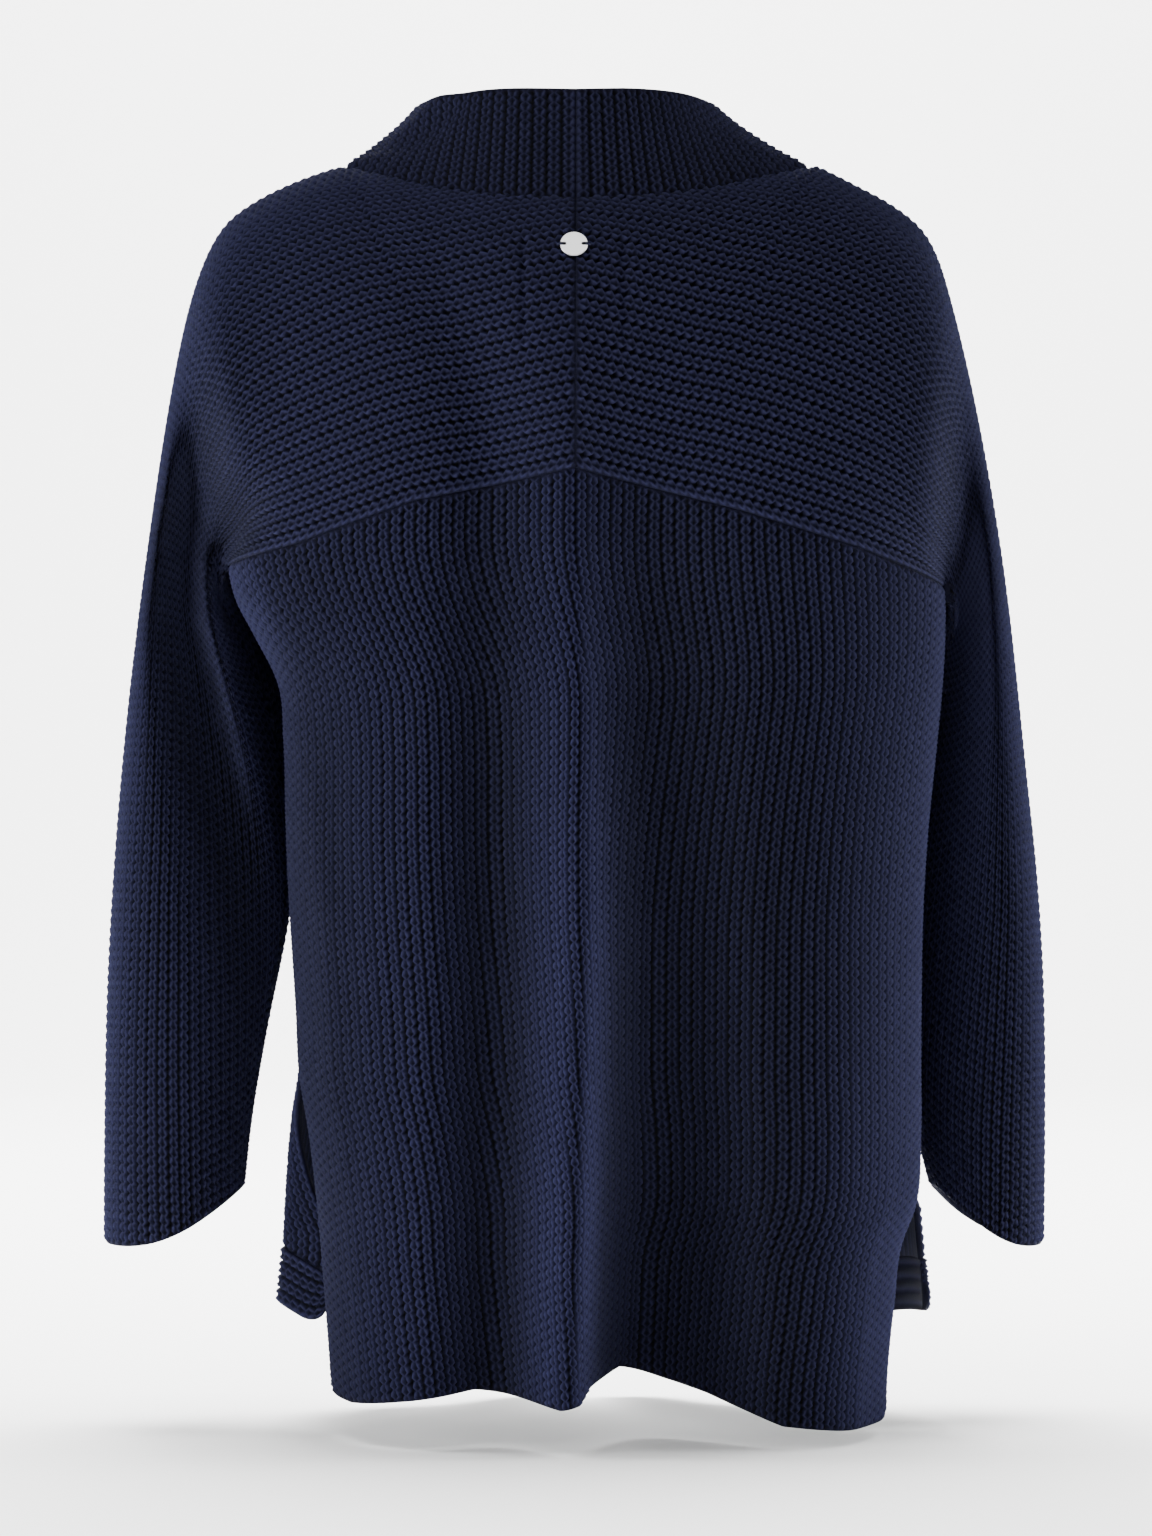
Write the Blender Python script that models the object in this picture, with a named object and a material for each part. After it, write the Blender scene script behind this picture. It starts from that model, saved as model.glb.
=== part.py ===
"""A chunky rib-knit cardigan in its worn shape, with nobody in it.

Every piece that a maker would knit and sew is one closed wall of cloth, worked out from the tables below.
Metres, +Z up.  The wearer faces -Y, so +X is the wearer's left.  The origin lies at the base of the neck,
midway between the two high shoulder points, where the cardigan hangs on its wearer.

A cloth surface is first tabled as a grid of points on the crests of its ribs.  The wall goes inward from it.
"""

import bmesh
import bpy
import numpy as np

# ---------------------------------------------------------------- named sizes

GAP = 0.0006                # between two pieces that are sewn together
NECK_GAP = 0.0009           # the same round the neck
CORNER_GAP = 0.0018         # the same where three pieces meet under the arm
WALL = 0.0040               # from a rib's crest to the inside of the cloth
GROOVE = 0.0018             # depth of the groove between two ribs
FRONT_EDGE = 0.016          # half of the opening down the front
BAND_STEP = 0.0010          # how far the hem band stands proud of the front
BACK_RIBS = 72
FRONT_RIBS = 34
COLLAR_RIBS = 36            # in each half of the collar
YOKE_RIBS = 31              # from the yoke seam up to the top of the shoulder
BAND_RIBS = 4

DISC_RADIUS = 0.0081
DISC_THICK = 0.0014
DISC_HEIGHT = -0.0570       # the disc's centre on the centre-back seam
DISC_OFFSET = 0.0012        # and how far it sits to the wearer's left
SLOT_WIDTH = 0.0022
SLOT_DEPTH = 0.0026
THREAD_RADIUS = 0.0006

NAVY = (0.018, 0.024, 0.085, 1.0)
STEEL = (0.72, 0.72, 0.74, 1.0)
THREAD = (0.010, 0.013, 0.045, 1.0)

# ---------------------------------------------------------------- tables

# The back of the body, by height: where its two sides are, and how far it stands out behind them.
#      z       left    right   left y  right y depth   fullness
BACK = [
    (-0.100, 0.2000, 0.2050, 0.000, 0.000, 0.100, 2.6),
    (-0.200, 0.2050, 0.2130, 0.002, 0.002, 0.104, 2.7),
    (-0.240, 0.2080, 0.2180, 0.002, 0.004, 0.104, 2.7),
    (-0.262, 0.2030, 0.2205, 0.002, 0.004, 0.103, 2.6),
    (-0.282, 0.1926, 0.2205, 0.002, 0.004, 0.103, 2.5),
    (-0.312, 0.1780, 0.2190, 0.002, 0.004, 0.102, 2.4),
    (-0.345, 0.1750, 0.2160, 0.002, 0.003, 0.103, 2.3),
    (-0.400, 0.1735, 0.2105, 0.002, 0.002, 0.104, 2.3),
    (-0.444, 0.1716, 0.2078, 0.002, 0.001, 0.105, 2.3),
    (-0.511, 0.1674, 0.2066, 0.002, 0.000, 0.107, 2.3),
    (-0.541, 0.1660, 0.2064, 0.003, 0.000, 0.108, 2.3),
    (-0.581, 0.1592, 0.2064, 0.010, 0.000, 0.106, 2.3),
    (-0.624, 0.1540, 0.2030, 0.014, 0.003, 0.102, 2.3),
    (-0.645, 0.1520, 0.1946, 0.016, 0.009, 0.098, 2.3),
    (-0.681, 0.1490, 0.1896, 0.020, 0.014, 0.094, 2.3),
    (-0.729, 0.1455, 0.1850, 0.026, 0.018, 0.088, 2.3),
    (-0.760, 0.1450, 0.1850, 0.028, 0.019, 0.086, 2.3),
]
# The front of the body, the same way.  Above the vents its sides are the back's.
FRONT = [
    (-0.100, 0.2000, 0.2050, 0.000, 0.000, 0.108, 2.4),
    (-0.200, 0.2050, 0.2130, 0.002, 0.002, 0.124, 2.4),
    (-0.240, 0.2080, 0.2180, 0.002, 0.004, 0.128, 2.4),
    (-0.312, 0.1780, 0.2190, 0.002, 0.004, 0.128, 2.3),
    (-0.400, 0.1735, 0.2105, 0.002, 0.002, 0.126, 2.3),
    (-0.541, 0.1660, 0.2064, 0.003, 0.000, 0.128, 2.3),
    (-0.571, 0.1708, 0.2062, -0.003, 0.000, 0.130, 2.3),
    (-0.624, 0.1752, 0.2070, -0.008, -0.001, 0.131, 2.3),
    (-0.650, 0.1766, 0.2094, -0.009, -0.004, 0.130, 2.3),
    (-0.681, 0.1796, 0.2124, -0.010, -0.006, 0.129, 2.3),
    (-0.760, 0.1830, 0.2150, -0.010, -0.008, 0.131, 2.3),
]
# Folds: where each runs at the yoke, the waist and the hem, its reach to the left and to the right,
# and how far it lifts (or sinks) the cloth at those three heights.
#     name                   x yoke   waist    hem   left   right   yoke   waist    hem
BACK_FOLDS = [
    ("side ridge",            0.204,  0.150,  0.145, 0.012, 0.014,  0.002,  0.005,  0.004),
    ("left ridge",            0.094,  0.090,  0.090, 0.036, 0.032,  0.002,  0.008,  0.013),
    ("left trough",           0.046,  0.043,  0.044, 0.024, 0.022, -0.006, -0.014, -0.016),
    ("spine ridge",           0.004, -0.004,  0.002, 0.026, 0.013,  0.006,  0.014,  0.024),
    ("deep trough",          -0.052, -0.050, -0.034, 0.024, 0.060, -0.005, -0.020, -0.058),
    ("right ridge",          -0.160, -0.158, -0.150, 0.050, 0.036,  0.002,  0.007,  0.018),
]
FRONT_FOLDS = [
    ("left trough",           0.100,  0.095,  0.090, 0.034, 0.034,  0.000, -0.008, -0.020),
    ("left ridge",            0.050,  0.045,  0.040, 0.030, 0.030,  0.000,  0.005,  0.012),
    ("right ridge",          -0.045, -0.045, -0.050, 0.030, 0.030,  0.000,  0.005,  0.012),
    ("right trough",         -0.110, -0.105, -0.100, 0.036, 0.034,  0.000, -0.009, -0.022),
]
FOLD_HEIGHTS = (-0.20, -0.45, -0.74)

# Seams and hems across the body: height of the line at each x.
BACK_YOKE_SEAM = [(-0.2190, -0.2528), (-0.165, -0.2330), (-0.095, -0.2120), (0.0, -0.1880),
                  (0.095, -0.2070), (0.165, -0.2310), (0.2080, -0.2408)]
FRONT_YOKE_SEAM = [(-0.2190, -0.2528), (-0.150, -0.2340), (-0.016, -0.2000),
                   (0.016, -0.2000), (0.150, -0.2280), (0.2080, -0.2408)]
BACK_HEM = [(-0.190, -0.7480), (-0.160, -0.7480), (-0.140, -0.7460), (-0.120, -0.7440), (-0.100, -0.7370),
            (-0.075, -0.7280), (-0.050, -0.7215), (-0.027, -0.7140), (-0.010, -0.7205), (-0.004, -0.7290),
            (0.010, -0.7310), (0.058, -0.7233), (0.100, -0.7290), (0.133, -0.7335), (0.145, -0.7320)]
FRONT_HEM = [(-0.215, -0.6890), (-0.150, -0.7080), (-0.070, -0.7290), (0.0, -0.7360), (0.070, -0.7290),
             (0.140, -0.7040), (0.185, -0.6800)]
BAND_HEIGHT = 0.033
COLLAR_LEAN = {1: 1.05, -1: 0.92}    # the collar's top edge leans a little to the wearer's left
HEM_CORNER = 0.018          # radius of the rounded corners at the vents

# The neckline, from the centre back (share 0) over the high shoulder point (share 1) and,
# in the second table, from the front edge (share 0) up to that point.
#      share    x       y        z
NECK_BACK = [(0.00, 0.0000, 0.0620, -0.0251), (0.25, 0.0400, 0.0590, -0.0235), (0.50, 0.0780, 0.0470, -0.0180),
             (0.75, 0.1140, 0.0250, -0.0080), (1.00, 0.1415, -0.0050, -0.0004)]
NECK_FRONT = [(0.00, 0.0160, -0.1060, -0.0850), (0.25, 0.0550, -0.1000, -0.0670), (0.50, 0.0900, -0.0800, -0.0440),
              (0.75, 0.1210, -0.0450, -0.0180), (1.00, 0.1415, -0.0050, -0.0004)]
# The collar's top edge, from the centre back (share 0) round to the front edge (share 1).
COLLAR_TOP = [(0.000, 0.0000, 0.0460, 0.0401), (0.125, 0.0360, 0.0420, 0.0410), (0.250, 0.0660, 0.0290, 0.0405),
              (0.375, 0.0850, 0.0060, 0.0390), (0.500, 0.0915, -0.0220, 0.0370), (0.625, 0.0850, -0.0520, 0.0300),
              (0.750, 0.0680, -0.0780, 0.0130), (0.875, 0.0420, -0.0960, -0.0060), (1.000, 0.0160, -0.1060, -0.0200)]

# Sections of a yoke and sleeve piece, from the centre of the body to the cuff.  Each goes from the top
# (the neckline, then the top of the arm) down the back, and down the front, to the yoke seam or underarm.
# neck and seam say how far along those lines it starts and ends.  slope is how steeply it leaves the top.
# pull says how far the cloth swings out at the top and at its lower end, turn how far it turns under, and
# inward how far it comes in from the side there, so that it roofs the hollow under the arm.
# cut counts the ribs that the neckline cuts off, and last is the rib that ends at the yoke or underarm.
#    station              neck  seam  slope     back pull      front pull    turn inward cut     last
STATIONS = [
    ("centre",            0.00, 0.00, (40, 62), (0.150, 0.170), (0.120, 0.110),  0, 0.00, (10.5, 16.5), 31.0),
    ("inner neck",        0.25, 0.08, (38, 55), (0.155, 0.180), (0.125, 0.130),  0, 0.00, (9.2, 14.0), 31.0),
    ("middle neck",       0.50, 0.16, (33, 45), (0.165, 0.210), (0.130, 0.180),  0, 0.00, (7.0, 10.0), 31.0),
    ("outer neck",        0.75, 0.25, (22, 28), (0.180, 0.270), (0.150, 0.240),  0, 0.00, (3.6, 5.0), 31.0),
    ("high shoulder",     1.00, 0.34, (0, 0),   (0.190, 0.330), (0.190, 0.330),  0, 0.00, (0.0, 0.0), 31.0),
    ("shoulder",          1.00, 0.44, (0, 0),   (0.200, 0.330), (0.210, 0.330),  0, 0.00, (0.0, 0.0), 31.0),
    ("outer shoulder",    1.00, 0.55, (0, 0),   (0.210, 0.320), (0.220, 0.320),  0, 0.00, (0.0, 0.0), 31.0),
    ("shoulder bone",     1.00, 0.66, (0, 0),   (0.220, 0.300), (0.230, 0.300),  4, 0.00, (0.0, 0.0), 31.0),
    ("top of the arm",    1.00, 0.77, (0, 0),   (0.235, 0.260), (0.240, 0.260), 19, -0.05, (0.0, 0.0), 31.0),
    ("armhole",           1.00, 0.89, (0, 0),   (0.250, 0.266), (0.250, 0.266), 59, -0.19, (0.0, 0.0), 31.0),
    ("underarm corner",   1.00, 1.00, (0, 0),   (0.262, 0.132), (0.262, 0.132), 72, 0.08, (0.0, 0.0), 31.0),
    ("below the corner",  1.00, 1.00, (0, 0),   (0.266, 0.118), (0.266, 0.118), 66, 0.00, (0.0, 0.0), 30.0),
    ("upper arm",         1.00, 1.00, (0, 0),   (0.262, 0.245), (0.262, 0.245), 83, 0.00, (0.0, 0.0), 28.0),
    ("biceps",            1.00, 1.00, (0, 0),   (0.250, 0.240), (0.250, 0.240), 90, 0.00, (0.0, 0.0), 26.0),
    ("above the elbow",   1.00, 1.00, (0, 0),   (0.238, 0.232), (0.238, 0.232), 90, 0.00, (0.0, 0.0), 25.0),
    ("elbow",             1.00, 1.00, (0, 0),   (0.226, 0.226), (0.226, 0.226), 90, 0.00, (0.0, 0.0), 24.5),
    ("below the elbow",   1.00, 1.00, (0, 0),   (0.216, 0.216), (0.216, 0.216), 90, 0.00, (0.0, 0.0), 24.0),
    ("forearm",           1.00, 1.00, (0, 0),   (0.206, 0.206), (0.206, 0.206), 90, 0.00, (0.0, 0.0), 22.5),
    ("wrist",             1.00, 1.00, (0, 0),   (0.196, 0.196), (0.196, 0.196), 90, 0.00, (0.0, 0.0), 21.0),
    ("cuff",              1.00, 1.00, (0, 0),   (0.190, 0.190), (0.190, 0.190), 90, 0.00, (0.0, 0.0), 20.0),
]
SHOULDER, CORNER = 4, 10    # stations where the neckline ends and where the sleeve closes
WALL_STATIONS = (0, 1, 2, 3, 4, 5, 6, 7, 8, 9, 10, 11, 12, 14, 16, 18, 19)
CUFF_SAG = 0.010            # how much lower a cuff hangs at its back and front
UNDERARM_LEAN = ((8, 0.15), (9, 0.5), (10, 1.0))    # how far the seam's normal turns down near the corner
INNER_COLUMNS = 12
INNER_RIBS = 2.0            # a column of the body's plain inside is this many ribs wide
COLLAR_ROWS = (0.0, 0.36, 0.72, 1.0)
BODY_ROWS = (0.0, 0.06, 0.14, 0.26, 0.62, 1.0, 1.5, 2.0)
VENT_TOPS = {1: -0.541, -1: -0.624}
WRAP, WRAP_DEPTH, WRAP_RUN = 35.0, 0.030, 0.10   # below its vent the left front reaches round the side (degrees, metres)

# Top of the shoulder and arm, and underarm, at the stations from the high shoulder point on.
# lean turns the underarm cloth towards the front of the body, in degrees.
#    top of the arm (x, y, z)      underarm (x, y, z)           lean
LEFT_ARM = [
    ((0.1415, -0.0050, -0.0004),  (0.0, 0.0, 0.0), 0),
    ((0.1665, -0.0050, -0.0090),  (0.0, 0.0, 0.0), 0),
    ((0.1900, -0.0060, -0.0200),  (0.0, 0.0, 0.0), 0),
    ((0.2085, -0.0070, -0.0330),  (0.0, 0.0, 0.0), 0),
    ((0.2200, -0.0080, -0.0500),  (0.0, 0.0, 0.0), 0),
    ((0.2290, -0.0090, -0.0730),  (0.0, 0.0, 0.0), 0),
    ((0.2360, -0.0100, -0.1000),  (0.2080, 0.0020, -0.2408), 5),
    ((0.2430, -0.0110, -0.1360),  (0.2136, -0.0100, -0.2620), 15),
    ((0.2510, -0.0120, -0.1850),  (0.1990, -0.0250, -0.2920), 28),
    ((0.2590, -0.0130, -0.2380),  (0.1850, -0.0350, -0.3300), 30),
    ((0.2665, -0.0140, -0.2960),  (0.1780, -0.0400, -0.3720), 30),
    ((0.2730, -0.0150, -0.3560),  (0.1750, -0.0400, -0.4150), 28),
    ((0.2782, -0.0150, -0.4180),  (0.1778, -0.0360, -0.4580), 20),
    ((0.2826, -0.0150, -0.4950),  (0.1868, -0.0280, -0.5120), 10),
    ((0.2840, -0.0150, -0.5780),  (0.1955, -0.0200, -0.5680), 4),
    ((0.2842, -0.0150, -0.6468),  (0.2000, -0.0120, -0.6150), 0),
]
RIGHT_ARM = [
    ((-0.1434, -0.0050, 0.0006),  (0.0, 0.0, 0.0), 0),
    ((-0.1665, -0.0055, -0.0110), (0.0, 0.0, 0.0), 0),
    ((-0.1900, -0.0070, -0.0235), (0.0, 0.0, 0.0), 0),
    ((-0.2080, -0.0090, -0.0380), (0.0, 0.0, 0.0), 0),
    ((-0.2180, -0.0110, -0.0560), (0.0, 0.0, 0.0), 0),
    ((-0.2250, -0.0140, -0.0790), (0.0, 0.0, 0.0), 0),
    ((-0.2320, -0.0170, -0.1060), (-0.2190, 0.0040, -0.2528), 5),
    ((-0.2405, -0.0210, -0.1430), (-0.2274, -0.0040, -0.2740), 17),
    ((-0.2495, -0.0260, -0.1900), (-0.2210, -0.0340, -0.3040), 22),
    ((-0.2585, -0.0310, -0.2420), (-0.2176, -0.0460, -0.3430), 26),
    ((-0.2660, -0.0360, -0.2990), (-0.2105, -0.0540, -0.3850), 28),
    ((-0.2725, -0.0410, -0.3590), (-0.2065, -0.0600, -0.4270), 28),
    ((-0.2800, -0.0450, -0.4210), (-0.2030, -0.0640, -0.4680), 26),
    ((-0.2852, -0.0490, -0.4980), (-0.2025, -0.0660, -0.5160), 20),
    ((-0.2860, -0.0530, -0.5800), (-0.2080, -0.0660, -0.5720), 12),
    ((-0.2855, -0.0560, -0.6510), (-0.2180, -0.0640, -0.6180), 6),
]

# Folds of the sleeves: side, back or front, reach away from and towards the body, and the fold's path:
# height, distance from the middle of the body, and how far it lifts (or sinks) the cloth.
SLEEVE_FOLDS = [
    (1, 0, 0.012, 0.020, [(-0.110, 0.212, 0.000), (-0.147, 0.219, -0.008), (-0.189, 0.228, -0.016),
                          (-0.231, 0.236, -0.020), (-0.273, 0.237, -0.020), (-0.315, 0.230, -0.018),
                          (-0.357, 0.224, -0.014), (-0.399, 0.213, -0.011), (-0.441, 0.205, -0.008),
                          (-0.500, 0.200, -0.005), (-0.600, 0.205, -0.003)]),
    (1, 0, 0.009, 0.010, [(-0.200, 0.222, 0.000), (-0.240, 0.220, 0.007), (-0.273, 0.219, 0.009),
                          (-0.315, 0.208, 0.009), (-0.357, 0.196, 0.007), (-0.400, 0.188, 0.004),
                          (-0.450, 0.184, 0.000)]),
    (1, 0, 0.012, 0.016, [(-0.185, 0.196, 0.000), (-0.215, 0.200, -0.008), (-0.232, 0.203, -0.008),
                          (-0.250, 0.205, 0.000)]),
    (-1, 0, 0.012, 0.016, [(-0.090, 0.212, 0.000), (-0.147, 0.222, -0.010), (-0.189, 0.227, -0.014),
                           (-0.231, 0.229, -0.010), (-0.273, 0.232, -0.006), (-0.330, 0.236, 0.000)]),
    (1, 1, 0.014, 0.018, [(-0.110, 0.205, 0.000), (-0.160, 0.213, -0.009), (-0.210, 0.222, -0.013),
                          (-0.260, 0.228, -0.010), (-0.330, 0.230, -0.006), (-0.420, 0.232, 0.000)]),
    (-1, 1, 0.014, 0.018, [(-0.110, 0.205, 0.000), (-0.160, 0.214, -0.010), (-0.210, 0.223, -0.013),
                           (-0.270, 0.230, -0.009), (-0.350, 0.236, -0.005), (-0.430, 0.240, 0.000)]),
]

# ---------------------------------------------------------------- curves and grids


def cubic(knots, rows, at):
    """Smooth curve through the rows of a table, read at given places."""
    k, v, at = np.asarray(knots, float), np.asarray(rows, float), np.asarray(at, float)
    step = np.diff(k)[:, None]
    rise = np.diff(v, axis=0) / step
    slope = np.empty_like(v)
    slope[1:-1] = (rise[:-1] * step[1:] + rise[1:] * step[:-1]) / (step[1:] + step[:-1])
    slope[0], slope[-1] = rise[0], rise[-1]
    i = np.clip(np.searchsorted(k, at, side="right") - 1, 0, len(k) - 2)
    h = (k[i + 1] - k[i])[..., None]
    t = np.clip((at - k[i])[..., None] / h, 0, 1)
    return ((2 * t**3 - 3 * t**2 + 1) * v[i] + (t**3 - 2 * t**2 + t) * h * slope[i]
            + (3 * t**2 - 2 * t**3) * v[i + 1] + (t**3 - t**2) * h * slope[i + 1])


def unit(v):
    return v / np.linalg.norm(v, axis=-1, keepdims=True)


def evenly(points, shares):
    """Points at given shares of the length of each polyline (last axis but one)."""
    length = np.concatenate([np.zeros(points.shape[:-2] + (1,)),
                             np.cumsum(np.linalg.norm(np.diff(points, axis=-2), axis=-1), axis=-1)], axis=-1)
    out = np.empty(points.shape[:-2] + (len(shares), 3))
    for i in np.ndindex(points.shape[:-2]):
        s = length[i] / length[i][-1]
        for c in range(3):
            out[i][:, c] = np.interp(shares, s, points[i][:, c])
    return out


class Grid:
    """A cloth surface tabled over two parameters, with its outward normals."""

    def __init__(self, a, b, points, outward):
        self.a, self.b, self.points = a, b, points
        n = np.cross(np.gradient(points, a, axis=0), np.gradient(points, b, axis=1))
        self.normals = unit(n) * outward

    def read(self, a, b):
        """Point and normal at parameters a and b."""
        a, b = np.broadcast_arrays(np.asarray(a, float), np.asarray(b, float))
        x = np.clip(np.interp(a, self.a, np.arange(len(self.a))), 0, len(self.a) - 1.000001)
        y = np.clip(np.interp(b, self.b, np.arange(len(self.b))), 0, len(self.b) - 1.000001)
        i, j = x.astype(int), y.astype(int)
        s, t = (x - i)[..., None], (y - j)[..., None]
        out = [(1 - s) * (1 - t) * g[i, j] + s * (1 - t) * g[i + 1, j] + (1 - s) * t * g[i, j + 1]
               + s * t * g[i + 1, j + 1] for g in (self.points, self.normals)]
        return out[0], unit(out[1])


# ---------------------------------------------------------------- the body


def folded(folds, x, z):
    """How far the folds lift the cloth at x and z."""
    total = np.zeros(np.broadcast(x, z).shape)
    for _, x0, x1, x2, left, right, d0, d1, d2 in folds:
        centre = np.interp(-z, [-h for h in FOLD_HEIGHTS], (x0, x1, x2))
        depth = np.interp(-z, [-h for h in FOLD_HEIGHTS], (d0, d1, d2))
        reach = np.where(x > centre, left, right)
        total = total + depth * np.exp(-((x - centre) / reach) ** 2)
    return total


def body_grid(table, folds, rear, span):
    """Back (rear = 1) or front (rear = -1) of the body over height and share of its width.

    span gives the two x at which the cloth starts and ends, or None where it is the side seam.  Below the vents
    the left front wraps round the side, under the edge of the back.
    """
    z = np.linspace(-0.16, -0.76, 121)
    read = [cubic([-r[0] for r in t], [r[1:] for r in t], -z).T[..., None] for t in (table, BACK)]
    left, right, left_y, right_y = [np.where((z > VENT_TOPS[1 - 2 * (i % 2)])[:, None], read[1][i], read[0][i])
                                    for i in range(4)]
    depth, full = read[0][4:]
    middle, half = (left - right) / 2, (left + right) / 2
    ends = [np.zeros_like(z)[:, None], np.full_like(z, 180.0)[:, None]]
    for i, x in enumerate(span):
        if x is not None:
            cosine = (x - middle) / half
            ends[i] = np.degrees(np.arccos(np.sign(cosine) * np.abs(cosine) ** (full / 2)))
    if rear < 0 and span[0] is None:
        ends[0] = -WRAP * np.clip((VENT_TOPS[1] - z) / WRAP_RUN, 0, 1)[:, None]
    angle = np.radians(ends[0] + (ends[1] - ends[0]) * np.linspace(0, 1, 241)[None, :])
    c, s = np.cos(angle), np.sin(angle)
    x = middle + half * np.sign(c) * np.abs(c) ** (2 / full)
    depth = np.where(s < 0, -WRAP_DEPTH, depth)
    side = (left_y + right_y) / 2 + (left_y - right_y) / 2 * (x - middle) / half
    lift = folded(folds, x, np.broadcast_to(z[:, None], x.shape)) * np.clip(s * 2.0, 0, 1) ** 2
    y = side + rear * (depth * np.abs(s) ** (2 / full) + lift)
    points = np.stack([x, y, np.broadcast_to(z[:, None], x.shape)], -1)
    shares = np.linspace(0, 1, 181)
    return Grid(-z, shares, evenly(points, shares), rear)


def pleated(points, shares, side, front):
    """Lifts and sinks the cloth of a sleeve along its folds."""
    for owner, at_front, left, right, path in SLEEVE_FOLDS:
        if (owner, at_front) != (side, front):
            continue
        table = np.array(path)
        z = points[..., 2]
        order = np.argsort(table[:, 0])
        x, depth = (np.interp(z, table[order, 0], table[order, i]) for i in (1, 2))
        off = side * points[..., 0] - x
        fade = np.clip(np.minimum(shares / 0.14, (1 - shares) / 0.10), 0, 1)
        lift = depth * np.exp(-(off / np.where(off > 0, left, right)) ** 2) * fade**2 * (3 - 2 * fade)
        points[..., 1] += (-1 if front else 1) * lift
    return points


def line_height(grid, share, line):
    """Height at which a line drawn on the body, given as x and z, crosses each share of a panel's width."""
    z = np.full(np.shape(share), line[len(line) // 2][1])
    table = np.array(line)
    for _ in range(8):
        x = grid.read(-z, share)[0][..., 0]
        z = np.interp(x, table[:, 0], table[:, 1])
    return z


def rounded(z, grid, shares, ends):
    """A hem's height with its corner rounded at some of its ends (0 or 1)."""
    width = np.linalg.norm(np.diff(grid.read(-z, shares)[0], axis=0), axis=1).sum()
    for end in ends:
        t = np.clip(1 - np.abs(shares - end) * width / HEM_CORNER, 0, 1)
        z = z + HEM_CORNER * (1 - np.sqrt(1 - t**2))
    return z


# ---------------------------------------------------------------- yokes and sleeves


def neck_point(side, share, front):
    """Point of the neckline; side is 1 on the wearer's left and -1 on the right."""
    table = NECK_FRONT if front else NECK_BACK
    point = cubic([r[0] for r in table], [r[1:] for r in table], share)
    stretch = 1.0 if side > 0 else abs(RIGHT_ARM[0][0][0]) / LEFT_ARM[0][0][0]
    widen = 1 + (stretch - 1) * np.asarray(share)
    return point * np.stack([side * widen, np.ones_like(widen), np.ones_like(widen)], -1)


def arm_grid(side, front, seam_of):
    """Half of a yoke and sleeve, over the station and the share of the way down from the top."""
    arm = LEFT_ARM if side > 0 else RIGHT_ARM
    count = len(STATIONS)
    u = np.linspace(0, count - 1, (count - 1) * 10 + 1)
    at = np.arange(count)
    number = cubic(at, [(s[1], s[2], s[3][front], s[4 + front][0], s[4 + front][1], s[6], s[7])
                        for s in STATIONS], u)
    neck, seam, slope, top_pull, low_pull, turn, inward = number.T
    top = cubic(at[SHOULDER:], [r[0] for r in arm], u)
    lean = np.radians(np.clip(cubic(at[SHOULDER:], [(r[2],) for r in arm], u)[:, 0], 0, 60))
    low = cubic(at[CORNER:], [r[1] for r in arm[CORNER - SHOULDER:]], u)
    by_neck, by_seam = u < SHOULDER, u < CORNER
    top[by_neck] = neck_point(side, np.clip(neck[by_neck], 0, 1), front)
    low[by_seam] = seam_of(np.clip(seam[by_seam], 0, 1))
    away = -1.0 if front else 1.0
    slope, turn = np.radians(np.clip(slope, 0, 90)), np.radians(np.clip(turn, 0, 90))
    nil = np.zeros_like(u)
    top_way = np.stack([nil, away * np.cos(slope), -np.sin(slope)], -1) * top_pull[:, None]
    low_way = np.stack([-side * (away * np.sin(lean) * np.sin(turn) + inward), -away * np.cos(lean) * np.sin(turn),
                        -np.cos(turn)], -1) * low_pull[:, None]
    t = np.linspace(0, 1, 121)[None, :, None]
    points = ((2 * t**3 - 3 * t**2 + 1) * top[:, None] + (t**3 - 2 * t**2 + t) * top_way[:, None]
              + (3 * t**2 - 2 * t**3) * low[:, None] + (t**3 - t**2) * low_way[:, None])
    sag = CUFF_SAG * np.clip((u - count + 4) / 3, 0, 1) ** 2
    points[..., 2] -= sag[:, None] * np.sin(np.pi * t[..., 0]) ** 2
    shares = np.linspace(0, 1, 91)
    points = pleated(evenly(points, shares), shares, side, front)
    return Grid(u, shares, points, side * away)


def collar_grid(side):
    """Half of the collar, over the share of the way round from the centre back and up from the neckline."""
    round_ = np.linspace(0, 1, 97)
    base = np.where((round_ < 0.5)[:, None], neck_point(side, np.clip(2 * round_, 0, 1), 0),
                    neck_point(side, np.clip(2 - 2 * round_, 0, 1), 1))
    top = cubic([r[0] for r in COLLAR_TOP], [r[1:] for r in COLLAR_TOP], round_)
    top = top * (side * COLLAR_LEAN[side], 1, 1)
    bend = base * (0.47, 0.47, 0.58) + top * (0.53, 0.53, 0.42)
    t = np.linspace(0, 1, 41)[None, :, None]
    points = (1 - t) ** 2 * base[:, None] + 2 * t * (1 - t) * bend[:, None] + t**2 * top[:, None]
    return Grid(round_, np.linspace(0, 1, 41), points, -side)


# ---------------------------------------------------------------- walls


def relief(rib):
    """Depth of the cloth's outer face under the crests, by rib number: crests lie at the halves."""
    return GROOVE * (0.5 + 0.5 * np.cos(2 * np.pi * rib))


def rib_columns(first, last):
    """Rib numbers of the crests and grooves between two edges, and the edges."""
    inside = np.arange(np.ceil(first * 2 + 0.3) / 2, last - 0.15, 0.5)
    return np.concatenate([[first], inside[inside > first + 0.15], [last]])


def with_corners(at, corners):
    """Columns along a seam with its corner points among them, and none crowded against a corner."""
    clear = np.abs(at[:, None] - corners[None, :]).min(axis=1) > 0.12
    return np.sort(np.concatenate([at[clear], corners]))


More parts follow.
